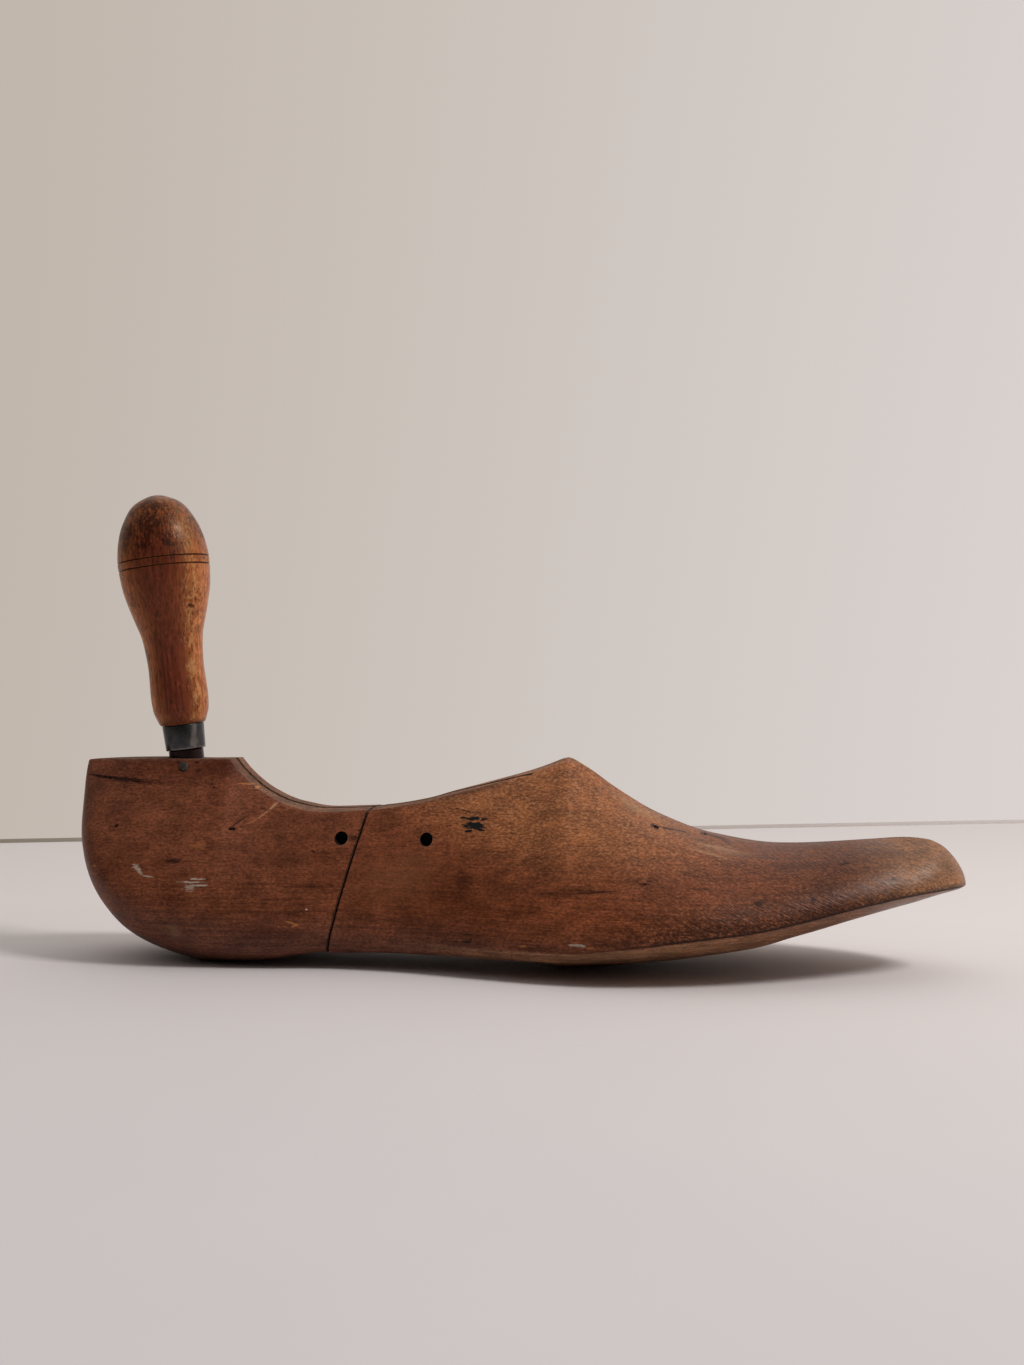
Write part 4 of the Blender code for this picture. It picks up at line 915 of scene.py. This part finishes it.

# The handle's shank and ferrule: a round steel spindle, turned down to a tang inside the grip, and a
# rolled steel collar a little wider at the top. Both are black with age, with painted highlights on the ferrule.
SPINDLE_CHAMFER = 0.0007
SPINDLE_SHOWING = 0.0028
TANG_ROOT_RADIUS = 0.0036
TANG_TIP_RADIUS = 0.0024
TANG_LENGTH = 0.0560
FERRULE_HEIGHT = 0.0081
FERRULE_TOP_RADIUS = 0.00685
FERRULE_FOOT_RADIUS = 0.0065
FERRULE_WALL = 0.0010
FERRULE_LIP = 0.0003
LIP_POINTS = 4
shoulder = SPINDLE_SHOWING - TIGHT
tang_top = SPINDLE_SHOWING + TANG_LENGTH
spindle_foot = CLEARANCE - SOCKET_DEPTH
bore_radius = FERRULE_FOOT_RADIUS - FERRULE_WALL
ferrule_top = SPINDLE_SHOWING + FERRULE_HEIGHT
grip_foot = ferrule_top + CLEARANCE
to_handle = Matrix.Translation(handle_foot) @ handle_axis.to_track_quat("Z", "Y").to_matrix().to_4x4()


def turned(profile, steps=ROUND_SIDES):
    """Solid turned on the handle's axis from a profile of (radius, height), closed on the axis or on itself."""
    form = bmesh.new()
    points = [form.verts.new((radius, 0.0, height)) for radius, height in profile]
    edges = [form.edges.new(pair) for pair in zip(points, points[1:])]
    if profile[0][0] > 0.0:
        edges.append(form.edges.new((points[-1], points[0])))
    bmesh.ops.spin(form, geom=points + edges, cent=(0, 0, 0), axis=(0, 0, 1), angle=2 * pi, steps=steps,
                   use_merge=True)
    bmesh.ops.remove_doubles(form, verts=form.verts, dist=MERGED)
    bmesh.ops.recalc_face_normals(form, faces=form.faces)
    bmesh.ops.transform(form, matrix=to_handle, verts=form.verts)
    return form


spindle = carved("spindle", turned((
    (0.0, spindle_foot), (SPINDLE_RADIUS - SPINDLE_CHAMFER, spindle_foot),
    (SPINDLE_RADIUS, spindle_foot + SPINDLE_CHAMFER), (SPINDLE_RADIUS, shoulder - FERRULE_LIP),
    (SPINDLE_RADIUS - FERRULE_LIP, shoulder), (TANG_ROOT_RADIUS, shoulder),
    (TANG_TIP_RADIUS, tang_top - TANG_TIP_RADIUS), (TANG_TIP_RADIUS / 2, tang_top), (0.0, tang_top))),
    [through_hole(HANDLE_PIN_RADIUS + CLEARANCE, HANDLE_PIN_PLACE, HANDLE_PIN_HEIGHT)])

quarter = [pi / 2 * index / LIP_POINTS for index in range(LIP_POINTS + 1)]
lip = [(FERRULE_LIP * (1 - sin(angle)), FERRULE_LIP * (1 - cos(angle))) for angle in quarter]
ferrule_profile = [(bore_radius, SPINDLE_SHOWING)]
ferrule_profile += [(FERRULE_FOOT_RADIUS - inwards, SPINDLE_SHOWING + rise) for inwards, rise in lip]
ferrule_profile += [(FERRULE_TOP_RADIUS - inwards, grip_foot - TIGHT - rise) for inwards, rise in lip[::-1]]
ferrule_profile += [(bore_radius, grip_foot - TIGHT)]
collar = finished("collar", turned(ferrule_profile))

# Blackened steel: dark and scuffed a little paler, with a painted highlight up its right side and along the
# ferrule's foot, and painted shade on the shank below the ferrule
black_steel, tree, shader, where = finish("blackened_steel")
scuff = add(tree, "Mapping", {"Vector": where, "Scale": (0.0024, 0.0024, 0.0040)}, vector_type="TEXTURE")
scuff = add(tree, "TexNoise", {"Vector": scuff, "Scale": 1.0, "Detail": 4.0})
scuff = add(tree, "MapRange", (scuff, 0.35, 0.65))
foot = to_row @ handle_foot
lean = handle_axis.to_track_quat("Z", "Y").to_euler()
own = add(tree, "Mapping", (where, foot, lean), vector_type="TEXTURE")
level = add(tree, "SeparateXYZ", (own,), "Z")
facing = add(tree, "TexCoord", (), "Normal")
painted_highlight = add(tree, "VectorMath", (facing, (0.74, -0.67, 0.0)), "Value", operation="DOT_PRODUCT")
painted_highlight = add(tree, "Math", (scuff, 0.03, painted_highlight), operation="MULTIPLY_ADD")
painted_highlight = add(tree, "MapRange", (painted_highlight, 0.984, 1.012, 0.0, 0.66), interpolation_type="SMOOTHSTEP")
# Painted highlight: a bright line along the ferrule's foot
rim = add(tree, "MapRange", (level, SPINDLE_SHOWING + 0.0009, SPINDLE_SHOWING + 0.0004, 0.0, 0.55))
rim = add(tree, "Math", (painted_highlight, rim), operation="MAXIMUM")
# Painted shade on the shank, below the ferrule
shank_shade = add(tree, "MapRange", (level, SPINDLE_SHOWING, SPINDLE_SHOWING - 0.0003))
colour = "#37383b"
for share, paint in ((scuff, "#484746"), (rim, "#7d7772"), (shank_shade, "#2b1f1e")):
    colour = add(tree, "Mix", {0: share, 6: colour, 7: paint}, 2, data_type="RGBA")
dull = add(tree, "MapRange", (scuff, 0.0, 1.0, 0.32, 0.22))
bump = add(tree, "Bump", {"Strength": 0.15, "Distance": 0.00005, "Height": scuff})
feed(shader, {"Base Color": colour, "Metallic": 0.9, "Roughness": dull, "Normal": bump})
for steel_piece, node in ((spindle, "handle_spindle"), (collar, "ferrule")):
    steel_piece.data.materials.clear()
    steel_piece.data.materials.append(black_steel)
    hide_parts(node)
    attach(steel_piece, "heel")

# The grip: beech turned between centres, with two rings scribed round it while it spun, varnished, and
# darkened by hands. It is driven on the tang, and the ferrule keeps its foot from splitting.
GRIP_LENGTH = 0.0769
GRIP_RADIUS = 0.0150
GRIP_WAIST_RADIUS = 0.0091
UPPER_RING_DROP = 0.0218
LOWER_RING_DROP = 0.0245
RING_DEPTH = 0.0003
RING_WIDTH = 0.0006
RING_ROUND = 0.7
RING_STEPS = 3
GRIP_SIDES = 128
GRIP_POINTS = 110
crown_height = grip_foot + GRIP_LENGTH


def down_grip(share):
    return share


swell = curve(
    (0.0, 0.0),
    *along(down_grip, 0.0, GRIP_RADIUS, (0.012, 0.27), (0.042, 0.54), (0.091, 0.727), (0.156, 0.88),
        (0.234, 0.973), (0.29, 1.0), (0.34, 0.987), (0.40, 0.955), (0.47, 0.875), (0.545, 0.767),
        (0.62, 0.662)),
    *along(down_grip, 0.0, GRIP_WAIST_RADIUS, (0.70, 1.02), (0.75, 1.0), (0.87, 1.03), (0.93, 1.0),
        (0.974, 0.89)),
    (1.0, FERRULE_TOP_RADIUS), reach=1.0)
shares = [(1 - cos(pi * index / GRIP_POINTS)) / 2 for index in range(1, GRIP_POINTS + 1)]
ring_shares = [drop / GRIP_LENGTH for drop in (UPPER_RING_DROP, LOWER_RING_DROP)]
half_ring = RING_WIDTH / 2 / GRIP_LENGTH
shares = [share for share in shares if all(abs(share - ring) > half_ring for ring in ring_shares)]
for ring in ring_shares:
    shares += [ring + half_ring * step / RING_STEPS for step in range(-RING_STEPS, RING_STEPS + 1)]
grip_outline = []
for share in sorted(shares):
    groove = max(1.0 - min(abs(share - ring) for ring in ring_shares) / half_ring, 0.0)
    grip_outline.append((swell(share) - RING_DEPTH * groove ** RING_ROUND, crown_height - share * GRIP_LENGTH))
tenon_radius = bore_radius - CLEARANCE
tang_bore_radius = TANG_ROOT_RADIUS + CLEARANCE
grip_form = turned([(0.0, crown_height)] + grip_outline
                   + [(tenon_radius, crown_height - GRIP_LENGTH), (tenon_radius, SPINDLE_SHOWING),
                      (tang_bore_radius, SPINDLE_SHOWING), (tang_bore_radius, tang_top + CLEARANCE),
                      (0.0, tang_top + CLEARANCE)], steps=GRIP_SIDES)
grip = finished("turned_grip", grip_form)

# Beech turned and varnished: orange-brown where the varnish is clean, nearly black with grime on the
# crown, darker down the front as painted shade, with fine dark lines along the axis and a gloss that is broken by
# wear
varnished, tree, shader, where = finish("varnished_beech")
own = add(tree, "Mapping", (where, foot, lean), vector_type="TEXTURE")
patterns = {}
for name, cell, detail, rough in (("patch", (0.0034, 0.0034, 0.0046), 4.0, 0.65),
                                  ("speckle", (0.0008, 0.0008, 0.0014), 2.0, 0.6),
                                  ("line", (0.00075, 0.00075, 0.0150), 2.0, 0.6),
                                  ("dash", (0.00060, 0.00060, 0.0036), 1.0, 0.5)):
    stretched = add(tree, "Mapping", {"Vector": own, "Scale": cell}, vector_type="TEXTURE")
    patterns[name] = add(tree, "TexNoise", {"Vector": stretched, "Scale": 1.0, "Detail": detail,
                                            "Roughness": rough})
height = add(tree, "SeparateXYZ", (own,), "Z")
facing = add(tree, "TexCoord", (), "Normal")
mixed = add(tree, "Math", (patterns["patch"], 1.3, patterns["speckle"]), operation="MULTIPLY_ADD")
# Painted shade: the front is darkened, so the edges stay lighter
front = add(tree, "VectorMath", (facing, (0.19, -0.98, 0.0)), "Value", operation="DOT_PRODUCT")
front = add(tree, "Math", (mixed, 0.5, front), operation="MULTIPLY_ADD")
front = add(tree, "MapRange", (front, 1.12, 1.60, 0.0, 0.90), interpolation_type="SMOOTHSTEP")
coats = [(front, "#5c241d")]
for name, low, high in (("patch", 0.80, 1.20), ("line", 0.68, 1.30), ("speckle", 0.70, 1.30)):
    coats.append((1.0, add(tree, "MapRange", (patterns[name], 0.34, 0.66, low, high)), "MULTIPLY"))
high = add(tree, "MapRange", (height, 0.050, 0.076, 0.0, 0.55), interpolation_type="SMOOTHSTEP")
held = add(tree, "Math", (mixed, high), operation="ADD")
coats.append((add(tree, "MapRange", (held, 1.50, 1.80, 0.0, 0.85)), "#2a130c"))

# A painted highlight: a ragged golden streak up the right side, below the crown, where it faces the window
painted_streak = add(tree, "VectorMath", (facing, (1.0, 1.0, 0.0)), operation="MULTIPLY")
painted_streak = add(tree, "VectorMath", (painted_streak,), operation="NORMALIZE")
painted_streak = add(tree, "VectorMath", (painted_streak, (0.83, -0.56, 0.0)), "Value", operation="DOT_PRODUCT")
for name, share in (("speckle", 0.22), ("patch", 0.20)):
    painted_streak = add(tree, "Math", (patterns[name], share, painted_streak), operation="MULTIPLY_ADD")
painted_streak = add(tree, "MapRange", (painted_streak, 1.196, 1.240, 0.0, 0.72))
below_crown = add(tree, "MapRange", (height, 0.084, 0.076))
coats.append((add(tree, "Math", (painted_streak, below_crown), operation="MULTIPLY"), "#b98856"))
pores = add(tree, "MapRange", (patterns["dash"], 0.60, 0.70, 0.0, 0.6))
coats.append((pores, "#2b130b"))

# Two small knocks above the waist, one on either side
for spot, reach in (((-0.1216, -0.0040, 0.1001), (0.0012, 0.0050, 0.0026)),
                    ((-0.1050, -0.0078, 0.1156), (0.0013, 0.0040, 0.0009))):
    knock = add(tree, "Mapping", (where, spot, (0.0, radians(25), 0.0), reach), vector_type="TEXTURE")
    knock = add(tree, "TexGradient", (knock,), "Fac", gradient_type="SPHERICAL")
    coats.append((add(tree, "MapRange", (knock, 0.2, 0.5, 0.0, 0.85)), "#2b130b"))

# Grime sits in the two rings, and painted shade darkens the foot, where the grip meets the ferrule
for drop in (UPPER_RING_DROP, LOWER_RING_DROP):
    near = add(tree, "Math", (height, crown_height - drop), operation="SUBTRACT")
    near = add(tree, "Math", (near,), operation="ABSOLUTE")
    coats.append((add(tree, "MapRange", (near, 0.00034, 0.00016, 0.0, 0.9)), "#1f0d08"))
coats.append((add(tree, "MapRange", (height, ferrule_top + 0.0022, ferrule_top, 0.0, 0.7)), "#2b130b"))

tone = add(tree, "MapRange", (patterns["patch"], 0.30, 0.70))
colour = add(tree, "Mix", {0: tone, 6: "#94502a", 7: "#c17949"}, 2, data_type="RGBA")
for share, paint, *blend in coats:
    colour = add(tree, "Mix", {0: share, 6: colour, 7: paint}, 2, data_type="RGBA", blend_type=(*blend, "MIX")[0])
gloss = add(tree, "MapRange", (patterns["patch"], 0.3, 0.7, 0.24, 0.42))
relief = add(tree, "Math", (patterns["speckle"], patterns["line"]), operation="ADD")
relief = add(tree, "Math", (relief, pores), operation="SUBTRACT")
bump = add(tree, "Bump", {"Strength": 0.5, "Distance": 0.00012, "Height": relief})
feed(shader, {"Base Color": colour, "Roughness": gloss, "Specular IOR Level": 0.22, "Specular Tint": "#f6d3b0",
              "Normal": bump})
grip.data.materials.append(varnished)
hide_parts("grip")
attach(grip, "heel")
